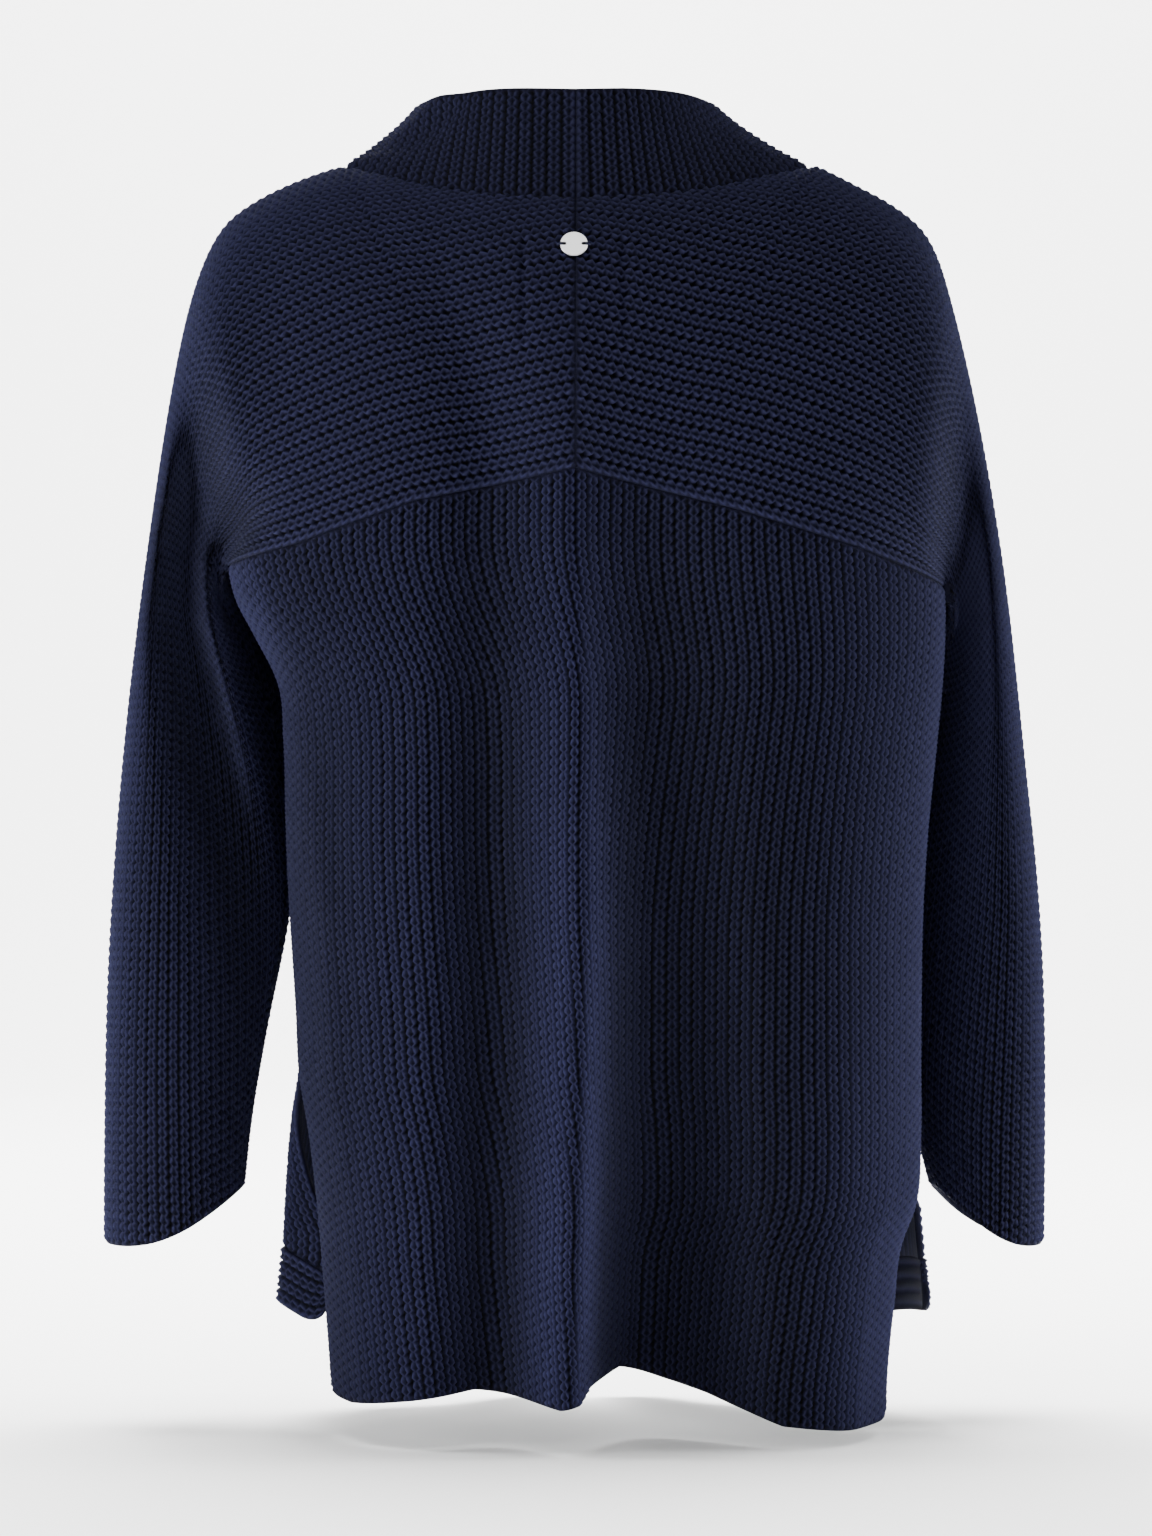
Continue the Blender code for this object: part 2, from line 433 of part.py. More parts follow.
class Wall:
    """Collects the triangles of one cloth wall."""

    def __init__(self):
        self.points, self.faces = [], []

    def row(self, points):
        start = len(self.points)
        self.points.extend(points)
        return np.arange(start, start + len(points))

    def zip(self, a, a_at, b, b_at):
        """Triangles between two rows of points, each point joined to those nearest it by parameter."""
        i = j = 0
        while i < len(a) - 1 or j < len(b) - 1:
            if j == len(b) - 1 or (i < len(a) - 1 and a_at[i + 1] - b_at[j] <= b_at[j + 1] - a_at[i] + 1e-9):
                self.faces.append((a[i], a[i + 1], b[j]))
                i += 1
            else:
                self.faces.append((a[i], b[j + 1], b[j]))
                j += 1

    def skin(self, rows):
        """Surface through rows of (indices, parameters)."""
        for (a, a_at), (b, b_at) in zip(rows[:-1], rows[1:]):
            self.zip(a, a_at, b, b_at)

    def rim(self, outer, inner):
        """Edge strip between an outer and an inner row, by their shares."""
        shares = [(r[1] - r[1][0]) / (r[1][-1] - r[1][0]) for r in (outer, inner)]
        self.zip(outer[0], shares[0], inner[0], shares[1])


def column(rows, index):
    """The first or last point of each row, as a row of its own."""
    picked = np.array([r[0][index] for r in rows])
    return picked, np.arange(len(picked), dtype=float)


def material(name, colour, rough, metal):
    made = bpy.data.materials.new(name)
    made.use_nodes = True
    shader = made.node_tree.nodes["Principled BSDF"]
    shader.inputs["Base Color"].default_value = colour
    shader.inputs["Roughness"].default_value = rough
    shader.inputs["Metallic"].default_value = metal
    made.diffuse_color = colour
    return made


def finish(name, points, faces, colour=NAVY, rough=0.9, metal=0.0, sharp=50.0):
    """One closed body from points and faces, welded and facing out."""
    mesh = bpy.data.meshes.new(name)
    mesh.from_pydata([tuple(p) for p in points], [], [tuple(int(i) for i in f) for f in faces])
    form = bmesh.new()
    form.from_mesh(mesh)
    bmesh.ops.remove_doubles(form, verts=form.verts, dist=0.000002)
    bmesh.ops.recalc_face_normals(form, faces=form.faces)
    if form.calc_volume(signed=True) < 0:
        bmesh.ops.reverse_faces(form, faces=form.faces)
    form.to_mesh(mesh)
    form.free()
    mesh.materials.append(material(name + "_material", colour, rough, metal))
    mesh.shade_smooth()
    mesh.set_sharp_from_angle(angle=np.radians(sharp))
    made = bpy.data.objects.new(name, mesh)
    bpy.context.scene.collection.objects.link(made)
    return made


def panel(name, outer, inner):
    """A wall with a rim all round, from rows of (points, parameters)."""
    wall = Wall()
    outer = [(wall.row(p), np.asarray(at, float)) for p, at in outer]
    inner = [(wall.row(p), np.asarray(at, float)) for p, at in inner]
    wall.skin(outer)
    wall.skin(inner)
    wall.rim(outer[0], inner[0])
    wall.rim(outer[-1], inner[-1])
    wall.rim(column(outer, 0), column(inner, 0))
    wall.rim(column(outer, -1), column(inner, -1))
    return finish(name, wall.points, wall.faces)


# ---------------------------------------------------------------- seams


class Seam:
    """A sewn line between two pieces: straight runs between corner points, with one normal for both pieces."""

    def __init__(self, at, points, normals, across):
        self.at, self.points, self.normals = np.asarray(at, float), np.array(points), unit(normals)
        way = unit(np.cross(np.gradient(self.points, axis=0), self.normals))
        self.across = way * np.sign(np.sum(way * np.asarray(across), axis=-1))[..., None]

    def moved(self, side):
        """The corner points, moved half a gap to one side."""
        return self.points + self.across * (side * GAP / 2)

    def read(self, at, side):
        """Points and normals between the corners, half a gap to one side."""
        order = np.argsort(self.at)
        return [np.stack([np.interp(at, self.at[order], v[order, c]) for c in range(3)], -1)
                for v in (self.moved(side), self.normals)]


def yoke_seam(body, arm, side, share_of):
    """Seam between a body panel and a yoke, with a corner at each station."""
    stations = np.arange(CORNER + 1)
    share = share_of(np.array([s[2] for s in STATIONS[:CORNER + 1]]))
    points, normals = arm.read(stations, np.ones(CORNER + 1))
    normals = normals + body.read(-points[:, 2], share)[1]
    normals[0, 0] = 0.0
    for station, lean in UNDERARM_LEAN:
        normals[station] = (1 - lean) * unit(normals[station]) + lean * np.array((0.15 * side, 0.0, -0.99))
    seam = Seam(share, points, normals, (0.3 * side, 0, 1))
    seam.across[CORNER] = unit(np.array((0.99 * side, 0.0, 0.15)))
    seam.across[CORNER - 2:] *= CORNER_GAP / GAP
    return seam


def neck_seam(arms, collar):
    """Seam between a collar half and a yoke, from the centre back round to the front edge."""
    back = np.arange(SHOULDER + 1)
    fore = back[::-1][1:]
    at = np.concatenate([[STATIONS[i][1] / 2 for i in back], [1 - STATIONS[i][1] / 2 for i in fore]])
    reads = [arms[0].read(back, np.zeros(len(back))), arms[1].read(fore, np.zeros(len(fore)))]
    points, normals = (np.concatenate([r[i] for r in reads]) for i in (0, 1))
    normals = normals + collar.read(at, np.zeros(len(at)))[1]
    normals[0, 0] = 0.0
    seam = Seam(at, points, normals, (0, 0, 1))
    seam.across *= NECK_GAP / GAP
    return seam


# ---------------------------------------------------------------- the pieces


def yoke_sleeve(name, side, arms, seams, neck):
    """Back yoke, sleeve and front yoke, knitted as one piece and closed under the arm."""
    ends = {}
    for station in WALL_STATIONS:
        for edge, share in (("top", 0.0), ("low", 1.0)):
            points, normals = zip(*(arm.read(station, share) for arm in arms))
            ends[station, edge] = [(p, unit(normals[0] + normals[1])) for p in points]
        if station <= SHOULDER:
            ends[station, "top"] = [(neck.moved(-1)[i], neck.normals[i]) for i in (station, 2 * SHOULDER - station)]
        if station <= CORNER:
            ends[station, "low"] = [(s.moved(1)[station], s.normals[station]) for s in seams]
    wall = Wall()
    for front, arm in enumerate(arms):
        outer, inner = [], []
        for station in WALL_STATIONS:
            first, last = STATIONS[station][8][front], STATIONS[station][9]
            for rows, at in ((outer, rib_columns(first, last)), (inner, np.linspace(first, last, INNER_COLUMNS))):
                points, normals = arm.read(station, (at - first) / (last - first))
                (points[0], normals[0]), (points[-1], normals[-1]) = (ends[station, e][front] for e in ("top", "low"))
                depth = relief(at) if rows is outer else np.full(len(at), WALL)
                if rows is outer:
                    depth[[0, -1]] = GROOVE
                points = points - normals * depth[:, None]
                if station == 0:
                    points[:, 0] = side * (FRONT_EDGE if front else GAP / 2)
                rows.append((wall.row(points), at))
        for rows in (outer, inner):
            wall.skin(rows)
        wall.rim(outer[0], inner[0])
        wall.rim(outer[-1], inner[-1])
        neck_rows = sum(s <= SHOULDER for s in WALL_STATIONS)
        yoke_rows = sum(s <= CORNER for s in WALL_STATIONS)
        wall.rim(column(outer[:neck_rows], 0), column(inner[:neck_rows], 0))
        wall.rim(column(outer[:yoke_rows], -1), column(inner[:yoke_rows], -1))
    return finish(name, wall.points, wall.faces)


def collar_half(name, side, grid, neck):
    """One half of the stand collar, from the neckline up to its top edge."""
    ribs = rib_columns(0.0, COLLAR_RIBS)
    seam = neck.at * COLLAR_RIBS
    plain = np.sort(np.concatenate([seam, (seam[1:] + seam[:-1]) / 2]))
    outer, inner = [], []
    for up in COLLAR_ROWS:
        for rows, at in ((outer, ribs if up else with_corners(ribs, seam)), (inner, plain)):
            if up == 0:
                points, normals = neck.read(at / COLLAR_RIBS, 1)
            else:
                points, normals = grid.read(at / COLLAR_RIBS, up)
            normals[0, 0] = 0.0
            normals[0] = unit(normals[0])
            depth = relief(at) if rows is outer else np.full(len(at), WALL)
            points = points - normals * depth[:, None]
            points[0, 0] = side * GAP / 2
            rows.append((points, at))
    return panel(name, outer, inner)


def body_panel(name, grid, ribs, heights, top, corners, bottom_gap, sides, facing):
    """A knitted body panel.  heights(row, share) gives each row's height and top the seam along its upper edge.

    corners are the shares of that seam's corner points, sides the shares (0 or 1) of the side seams, and
    facing is +1 for the back and -1 for the front.
    """
    outer, inner = [], []
    first, last = ribs
    seam = first + (last - first) * np.unique(np.round(corners, 9))
    inner_seam = np.sort(np.concatenate([seam, (seam[1:] + seam[:-1]) / 2]))
    fine = rib_columns(first, last)
    plain = np.linspace(first, last, int(round((last - first) / INNER_RIBS)) + 1)
    for number, row in enumerate(BODY_ROWS):
        for rows, at in ((outer, fine if number else with_corners(fine, seam)),
                         (inner, plain if number else inner_seam)):
            share = (at - first) / (last - first)
            if number == 0:
                points, normals = top(share)
            else:
                points, normals = grid.read(-heights(row, share), share)
                if number == len(BODY_ROWS) - 1:
                    points[:, 2] += bottom_gap
            for edge in sides:
                i = 0 if edge == 0 else -1
                if number:
                    normals[i] = unit(normals[i] * (1, 0, 1))
                points[i, 1] += facing * GAP / 2
            depth = relief(at) if rows is outer else np.full(len(at), WALL)
            rows.append((points - normals * depth[:, None], at))
    return panel(name, outer, inner)


def hem_band(name, grid, ribs, upper, lower):
    """The band of crosswise ribs along a front hem, between two lines of height over the panel's share."""
    outer, inner = [], []
    fine = rib_columns(0.0, ribs) / ribs
    coarse = np.linspace(0, 1, 19)
    plain = np.linspace(0, 1, int(round(ribs / INNER_RIBS)) + 1)
    for rib in np.arange(0, BAND_RIBS + 0.1, 0.5):
        share = fine if rib == 0 else coarse
        z = upper(share) + (lower(share) - upper(share)) * rib / BAND_RIBS
        points, normals = grid.read(-z, share)
        points[:, 2] -= GAP / 2 if rib == 0 else 0
        outer.append((points + normals * (BAND_STEP - relief(rib)), share))
        if rib % 2 == 0:
            z = upper(plain) + (lower(plain) - upper(plain)) * rib / BAND_RIBS
            points, normals = grid.read(-z, plain)
            points[:, 2] -= GAP / 2 if rib == 0 else 0
            inner.append((points - normals * WALL, plain))
    return panel(name, outer, inner)


def disc(name, centre, normal, upward):
    """A small metal disc with a slot in its edge at each side, lying on the cloth."""
    across = unit(np.cross(upward, normal))
    rise = np.cross(normal, across)
    half, foot = SLOT_WIDTH / 2, DISC_RADIUS - SLOT_DEPTH
    start = np.arcsin(half / DISC_RADIUS)
    arc = np.linspace(start, np.pi - start, 17)
    rim = [(DISC_RADIUS * np.cos(a), DISC_RADIUS * np.sin(a)) for a in arc]
    slot = [(-foot - half * np.cos(a), half * np.sin(a)) for a in np.linspace(np.pi / 2, -np.pi / 2, 5)]
    slot = [(x if abs(y) > 1e-9 else -foot + half, y) for x, y in slot]
    slot = [(-foot + abs(x + foot), y) for x, y in slot]
    side = rim + slot
    outline = np.array(side + [(-x, -y) for x, y in side])
    shrunk = outline * (1 - 0.0003 / DISC_RADIUS)
    layers = [(shrunk, 0.0), (outline, 0.0003), (outline, DISC_THICK - 0.0003), (shrunk, DISC_THICK)]
    count = len(outline)
    points = [centre + across * x + rise * y + normal * h for ring, h in layers for x, y in ring]
    faces = [(a * count + i, a * count + (i + 1) % count, (a + 1) * count + (i + 1) % count, (a + 1) * count + i)
             for a in range(3) for i in range(count)]
    faces += [tuple(range(count))[::-1], tuple(range(3 * count, 4 * count))]
    return finish(name, points, faces, STEEL, 0.35, 1.0, 35.0), across, rise


def thread(name, path, radius):
    """A short round thread along a path of points."""
    path = np.array(path)
    points, sides = [], 8
    for i, p in enumerate(path):
        way = unit(path[min(i + 1, len(path) - 1)] - path[max(i - 1, 0)])
        one = unit(np.cross(way, (0.0, 0.0, 1.0)))
        two = np.cross(way, one)
        size = radius * (0.6 if i in (0, len(path) - 1) else 1.0)
        points += [p + size * (np.cos(a) * one + np.sin(a) * two) for a in np.arange(sides) * 2 * np.pi / sides]
    faces = [(a * sides + i, a * sides + (i + 1) % sides, (a + 1) * sides + (i + 1) % sides, (a + 1) * sides + i)
             for a in range(len(path) - 1) for i in range(sides)]
    faces += [tuple(range(sides))[::-1], tuple(range(len(points) - sides, len(points)))]
    return finish(name, points, faces, THREAD, 0.9, 0.0, 60.0)


# ---------------------------------------------------------------- assembly


def row_height(seam_z, vent_z, foot_z, row):
    """Height of a body row: rows 0 to 1 run from the yoke seam to the vents, rows 1 to 2 from there to the foot."""
    if row <= 1:
        return seam_z + (vent_z - seam_z) * row
    return vent_z + (foot_z - vent_z) * (row - 1)


def build():
    for old in list(bpy.data.objects):
        bpy.data.objects.remove(old, do_unlink=True)

    back = body_grid(BACK, BACK_FOLDS, 1, (None, None))
    fronts = {1: body_grid(FRONT, FRONT_FOLDS, -1, (None, FRONT_EDGE)),
              -1: body_grid(FRONT, FRONT_FOLDS, -1, (-FRONT_EDGE, None))}
    shares = np.linspace(0, 1, 721)
    seam_z = line_height(back, shares, BACK_YOKE_SEAM)
    centre = float(np.interp(0.0, -back.read(-seam_z, shares)[0][:, 0], shares))

    def back_share(side):
        return (lambda s: centre * (1 - s)) if side > 0 else (lambda s: centre + (1 - centre) * s)

    def front_share(side):
        return (lambda s: 1 - s) if side > 0 else (lambda s: s)

    def on_line(grid, share_of, line):
        return lambda s: grid.read(-line_height(grid, share_of(s), line), share_of(s))[0]

    seams = {}
    for side, word in ((1, "left"), (-1, "right")):
        arms = [arm_grid(side, 0, on_line(back, back_share(side), BACK_YOKE_SEAM)),
                arm_grid(side, 1, on_line(fronts[side], front_share(side), FRONT_YOKE_SEAM))]
        collar = collar_grid(side)
        yokes = [yoke_seam(back, arms[0], side, back_share(side)),
                 yoke_seam(fronts[side], arms[1], side, front_share(side))]
        neck = neck_seam(arms, collar)
        seams[side] = yokes
        if side > 0:
            left_arm = arms[0]
        yoke_sleeve("yoke_sleeve_" + word, side, arms, yokes, neck)
        collar_half("collar_" + word, side, collar, neck)

        grid = fronts[side]
        z_seam = line_height(grid, shares, FRONT_YOKE_SEAM)
        z_hem = line_height(grid, shares, FRONT_HEM)
        z_band = z_hem + BAND_HEIGHT
        z_hem = rounded(z_hem, grid, shares, (0,) if side > 0 else (1,))

        def front_height(row, share, z_seam=z_seam, z_band=z_band, z_vent=VENT_TOPS[side]):
            return row_height(np.interp(share, shares, z_seam), z_vent, np.interp(share, shares, z_band), row)

        body_panel("front_" + word, grid, (0.0, FRONT_RIBS), front_height,
                   lambda share, seam=yokes[1]: seam.read(share, -1), yokes[1].at, GAP / 2,
                   (0,) if side > 0 else (1,), -1)
        hem_band("front_hem_band_" + word, grid, FRONT_RIBS,
                 lambda share, z=z_band: np.interp(share, shares, z),
                 lambda share, z=z_hem: np.interp(share, shares, z))

    def back_top(share):
        left, right = seams[1][0].read(share, -1), seams[-1][0].read(share, -1)
        return [np.where((share < centre)[:, None], a, b) for a, b in zip(left, right)]

    z_hem = rounded(line_height(back, shares, BACK_HEM), back, shares, (0, 1))

    def back_height(row, share):
        z_vent = VENT_TOPS[1] + (VENT_TOPS[-1] - VENT_TOPS[1]) * share
        return row_height(np.interp(share, shares, seam_z), z_vent, np.interp(share, shares, z_hem), row)

    corners = np.concatenate([seams[1][0].at, seams[-1][0].at])
    body_panel("back_body", back, (-centre * BACK_RIBS, (1 - centre) * BACK_RIBS), back_height, back_top, corners,
               0.0, (0, 1), 1)

    line = left_arm.read(0.0, np.linspace(0, 1, 200))
    spot = np.interp(-DISC_HEIGHT, -line[0][:, 2], np.arange(200))
    place, normal = line[0][int(round(spot))].copy(), line[1][int(round(spot))]
    normal = unit(normal * (0, 1, 1))
    place[0] = DISC_OFFSET
    upward = np.cross(normal, (-1.0, 0.0, 0.0))
    _, across, _ = disc("neck_disc", place + normal * 0.0006, normal, upward)
    for way, word in ((1, "left"), (-1, "right")):
        mid = place + normal * (0.0006 + DISC_THICK / 2)
        path = [mid + across * way * r + normal * h for r, h in
                ((DISC_RADIUS - SLOT_DEPTH + 0.0012, 0.0), (DISC_RADIUS - 0.0004, 0.0002),
                 (DISC_RADIUS + 0.0010, -0.0001), (DISC_RADIUS + 0.0018, -0.0004))]
        thread("disc_thread_" + word, path, THREAD_RADIUS)


build()
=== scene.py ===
"""Looks of the chunky rib-knit cardigan: every stitch is modelled on the forms of the CAD solids.

Metres, +Z up.  The wearer faces -Y, and the photograph is taken from +Y.
"""

import bmesh
import bpy
import numpy as np
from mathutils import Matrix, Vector


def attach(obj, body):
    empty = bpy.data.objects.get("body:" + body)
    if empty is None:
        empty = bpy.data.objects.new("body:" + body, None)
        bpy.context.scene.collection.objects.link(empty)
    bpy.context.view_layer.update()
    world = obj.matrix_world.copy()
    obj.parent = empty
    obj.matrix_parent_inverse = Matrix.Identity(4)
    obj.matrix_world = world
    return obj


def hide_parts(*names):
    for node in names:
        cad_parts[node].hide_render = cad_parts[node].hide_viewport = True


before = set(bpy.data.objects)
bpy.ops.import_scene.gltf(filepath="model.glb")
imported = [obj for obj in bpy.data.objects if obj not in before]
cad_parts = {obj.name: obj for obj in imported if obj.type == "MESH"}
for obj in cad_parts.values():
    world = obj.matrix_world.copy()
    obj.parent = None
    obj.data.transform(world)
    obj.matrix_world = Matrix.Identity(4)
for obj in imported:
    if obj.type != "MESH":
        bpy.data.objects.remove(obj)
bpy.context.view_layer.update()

WALL = 0.0040  # from a rib's crest to the inside of the cloth
FRONT_EDGE = 0.016  # half of the opening down the front
BAND_STEP = 0.0010  # how far the hem band stands proud of the front
BACK_RIBS = 72
FRONT_RIBS = 34
COLLAR_RIBS = 36  # in each half of the collar
YOKE_RIBS = 31  # from the yoke seam up to the top of the shoulder
BAND_RIBS = 4

# -------- tables

# The back of the body, by height: where its two sides are, and how far it stands out behind them.
#      z       left    right   left y  right y depth   fullness
BACK = [
    (-0.100, 0.2000, 0.2050, 0.000, 0.000, 0.100, 2.6),
    (-0.200, 0.2050, 0.2130, 0.002, 0.002, 0.104, 2.7),
    (-0.240, 0.2080, 0.2180, 0.002, 0.004, 0.104, 2.7),
    (-0.262, 0.2030, 0.2205, 0.002, 0.004, 0.103, 2.6),
    (-0.282, 0.1926, 0.2205, 0.002, 0.004, 0.103, 2.5),
    (-0.312, 0.1780, 0.2190, 0.002, 0.004, 0.102, 2.4),
    (-0.345, 0.1750, 0.2160, 0.002, 0.003, 0.103, 2.3),
    (-0.400, 0.1735, 0.2105, 0.002, 0.002, 0.104, 2.3),
    (-0.444, 0.1716, 0.2078, 0.002, 0.001, 0.105, 2.3),
    (-0.511, 0.1674, 0.2066, 0.002, 0.000, 0.107, 2.3),
    (-0.541, 0.1660, 0.2064, 0.003, 0.000, 0.108, 2.3),
    (-0.581, 0.1592, 0.2064, 0.010, 0.000, 0.106, 2.3),
    (-0.624, 0.1540, 0.2030, 0.014, 0.003, 0.102, 2.3),
    (-0.645, 0.1520, 0.1946, 0.016, 0.009, 0.098, 2.3),
    (-0.681, 0.1490, 0.1896, 0.020, 0.014, 0.094, 2.3),
    (-0.729, 0.1455, 0.1850, 0.026, 0.018, 0.088, 2.3),
    (-0.760, 0.1450, 0.1850, 0.028, 0.019, 0.086, 2.3),
]
# The front of the body, the same way.  Above the vents its sides are the back's.
FRONT = [
    (-0.100, 0.2000, 0.2050, 0.000, 0.000, 0.108, 2.4),
    (-0.200, 0.2050, 0.2130, 0.002, 0.002, 0.124, 2.4),
    (-0.240, 0.2080, 0.2180, 0.002, 0.004, 0.128, 2.4),
    (-0.312, 0.1780, 0.2190, 0.002, 0.004, 0.128, 2.3),
    (-0.400, 0.1735, 0.2105, 0.002, 0.002, 0.126, 2.3),
    (-0.541, 0.1660, 0.2064, 0.003, 0.000, 0.128, 2.3),
    (-0.571, 0.1708, 0.2062, -0.003, 0.000, 0.130, 2.3),
    (-0.624, 0.1752, 0.2070, -0.008, -0.001, 0.131, 2.3),
    (-0.650, 0.1766, 0.2094, -0.009, -0.004, 0.130, 2.3),
    (-0.681, 0.1796, 0.2124, -0.010, -0.006, 0.129, 2.3),
    (-0.760, 0.1830, 0.2150, -0.010, -0.008, 0.131, 2.3),
]
# Folds: where each runs at the yoke, the waist and the hem, its reach to the left and to the right,
# and how far it lifts (or sinks) the cloth at those three heights.
#     name          x yoke  waist   hem    left   right   yoke  waist    hem
BACK_FOLDS = [
    ("side ridge",    0.204,  0.150,  0.145,  0.012,  0.014,  0.002,  0.005,  0.004),
    ("left ridge",    0.094,  0.090,  0.090,  0.036,  0.032,  0.002,  0.008,  0.013),
    ("left trough",   0.046,  0.043,  0.044,  0.024,  0.022, -0.006, -0.014, -0.016),
    ("spine ridge",   0.004, -0.004,  0.002,  0.026,  0.013,  0.006,  0.014,  0.024),
    ("deep trough",  -0.052, -0.050, -0.034,  0.024,  0.060, -0.005, -0.020, -0.058),
    ("right ridge",  -0.160, -0.158, -0.150,  0.050,  0.036,  0.002,  0.007,  0.018),
]
FRONT_FOLDS = [
    ("left trough",   0.100,  0.095,  0.090,  0.034,  0.034,  0.000, -0.008, -0.020),
    ("left ridge",    0.050,  0.045,  0.040,  0.030,  0.030,  0.000,  0.005,  0.012),
    ("right ridge",  -0.045, -0.045, -0.050,  0.030,  0.030,  0.000,  0.005,  0.012),
    ("right trough", -0.110, -0.105, -0.100,  0.036,  0.034,  0.000, -0.009, -0.022),
]
FOLD_DROPS = (0.20, 0.45, 0.74)  # how far those three lie under the frame's origin

# Seams and hems across the body: height of the line at each x.
BACK_YOKE_SEAM = [(-0.219, -0.2528), (-0.165, -0.233), (-0.095, -0.212), (0.0, -0.188), (0.095, -0.207),
                  (0.165, -0.231), (0.208, -0.2408)]
FRONT_YOKE_SEAM = [(-0.219, -0.2528), (-0.15, -0.234), (-0.016, -0.2), (0.016, -0.2), (0.15, -0.228),
                   (0.208, -0.2408)]
BACK_HEM = [(-0.19, -0.748), (-0.16, -0.748), (-0.14, -0.746), (-0.12, -0.744), (-0.1, -0.737),
            (-0.075, -0.728), (-0.05, -0.7215), (-0.027, -0.714), (-0.01, -0.7205), (-0.004, -0.729),
            (0.01, -0.731), (0.058, -0.7233), (0.1, -0.729), (0.133, -0.7335), (0.145, -0.732)]
FRONT_HEM = [(-0.215, -0.689), (-0.15, -0.708), (-0.07, -0.729), (0.0, -0.736), (0.07, -0.729),
             (0.14, -0.704), (0.185, -0.68)]
BAND_HEIGHT = 0.033
COLLAR_LEAN = {1: 1.05, -1: 0.92}  # the collar's top edge leans a little to the wearer's left
HEM_CORNER = 0.018  # radius of the rounded corners at the vents

# The neckline, from the centre back (share 0) over the high shoulder point (share 1) and,
# in the second table, from the front edge (share 0) up to that point.
#      share    x       y        z
NECK_BACK = [(0.0, 0.0, 0.062, -0.0251), (0.25, 0.04, 0.059, -0.0235), (0.5, 0.078, 0.047, -0.018),
             (0.75, 0.114, 0.025, -0.008), (1.0, 0.1415, -0.005, -0.0004)]
NECK_FRONT = [(0.0, 0.016, -0.106, -0.085), (0.25, 0.055, -0.1, -0.067), (0.5, 0.09, -0.08, -0.044),
              (0.75, 0.121, -0.045, -0.018), (1.0, 0.1415, -0.005, -0.0004)]
# The collar's top edge, from the centre back (share 0) round to the front edge (share 1).
COLLAR_TOP = [(0.0, 0.0, 0.046, 0.0401), (0.125, 0.036, 0.042, 0.041), (0.25, 0.066, 0.029, 0.0405),
              (0.375, 0.085, 0.006, 0.039), (0.5, 0.0915, -0.022, 0.037), (0.625, 0.085, -0.052, 0.03),
              (0.75, 0.068, -0.078, 0.013), (0.875, 0.042, -0.096, -0.006), (1.0, 0.016, -0.106, -0.02)]

# Sections of a yoke and sleeve piece, from the centre of the body to the cuff.  Each goes from the top
# (the neckline, then the top of the arm) down the back, and down the front, to the yoke seam or underarm.
# neck and seam say how far along those lines it starts and ends.  slope is how steeply it leaves the top.
# pull says how far the cloth swings out at the top and at its lower end, turn how far it turns under, and
# inward how far it comes in from the side there, so that it roofs the hollow under the arm.
# cut counts the ribs that the neckline cuts off.
#    station          neck  seam  slope     back pull       front pull     turn inward  cut
YOKE_STATIONS = [
    ("centre",         0.00, 0.00, (40, 62), (0.150, 0.170), (0.120, 0.110),  0,  0.00, (10.5, 16.5)),
    ("inner neck",     0.25, 0.08, (38, 55), (0.155, 0.180), (0.125, 0.130),  0,  0.00, (9.2, 14.0)),
    ("middle neck",    0.50, 0.16, (33, 45), (0.165, 0.210), (0.130, 0.180),  0,  0.00, (7.0, 10.0)),
    ("outer neck",     0.75, 0.25, (22, 28), (0.180, 0.270), (0.150, 0.240),  0,  0.00, (3.6, 5.0)),
    ("high shoulder",  1.00, 0.34, (0, 0),   (0.190, 0.330), (0.190, 0.330),  0,  0.00, (0, 0)),
    ("shoulder",       1.00, 0.44, (0, 0),   (0.200, 0.330), (0.210, 0.330),  0,  0.00, (0, 0)),
    ("outer shoulder", 1.00, 0.55, (0, 0),   (0.210, 0.320), (0.220, 0.320),  0,  0.00, (0, 0)),
    ("shoulder bone",  1.00, 0.66, (0, 0),   (0.220, 0.300), (0.230, 0.300),  4,  0.00, (0, 0)),
    ("top of the arm", 1.00, 0.77, (0, 0),   (0.235, 0.260), (0.240, 0.260), 19, -0.05, (0, 0)),
    ("armhole",        1.00, 0.89, (0, 0),   (0.250, 0.266), (0.250, 0.266), 59, -0.19, (0, 0)),
]
# The arm's stations have one pull for the back and the front; last is the rib that ends under the arm.
#    station             top    lower turn inward last
ARM_STATIONS = [
    ("underarm corner",  0.262, 0.132, 72, 0.08, 31.0),
    ("below the corner", 0.266, 0.118, 66, 0.00, 30.0),
    ("upper arm",        0.262, 0.245, 83, 0.00, 28.0),
    ("biceps",           0.250, 0.240, 90, 0.00, 26.0),
    ("above the elbow",  0.238, 0.232, 90, 0.00, 25.0),
    ("elbow",            0.226, 0.226, 90, 0.00, 24.5),
    ("below the elbow",  0.216, 0.216, 90, 0.00, 24.0),
    ("forearm",          0.206, 0.206, 90, 0.00, 22.5),
    ("wrist",            0.196, 0.196, 90, 0.00, 21.0),
    ("cuff",             0.190, 0.190, 90, 0.00, 20.0),
]
STATIONS = [row + (YOKE_RIBS,) for row in YOKE_STATIONS]
STATIONS += [(name, 1, 1, (0, 0), (top, low), (top, low), turn, inward, (0, 0), last)
             for name, top, low, turn, inward, last in ARM_STATIONS]
SHOULDER, CORNER = 4, 10  # stations where the neckline ends and where the sleeve closes
CUFF_SAG = 0.010  # how much lower a cuff hangs at its back and front
VENT_TOPS = {1: -0.541, -1: -0.624}
WRAP, WRAP_DEPTH, WRAP_RUN = 35.0, 0.030, 0.10  # how the left front reaches round the side (degrees, metres)

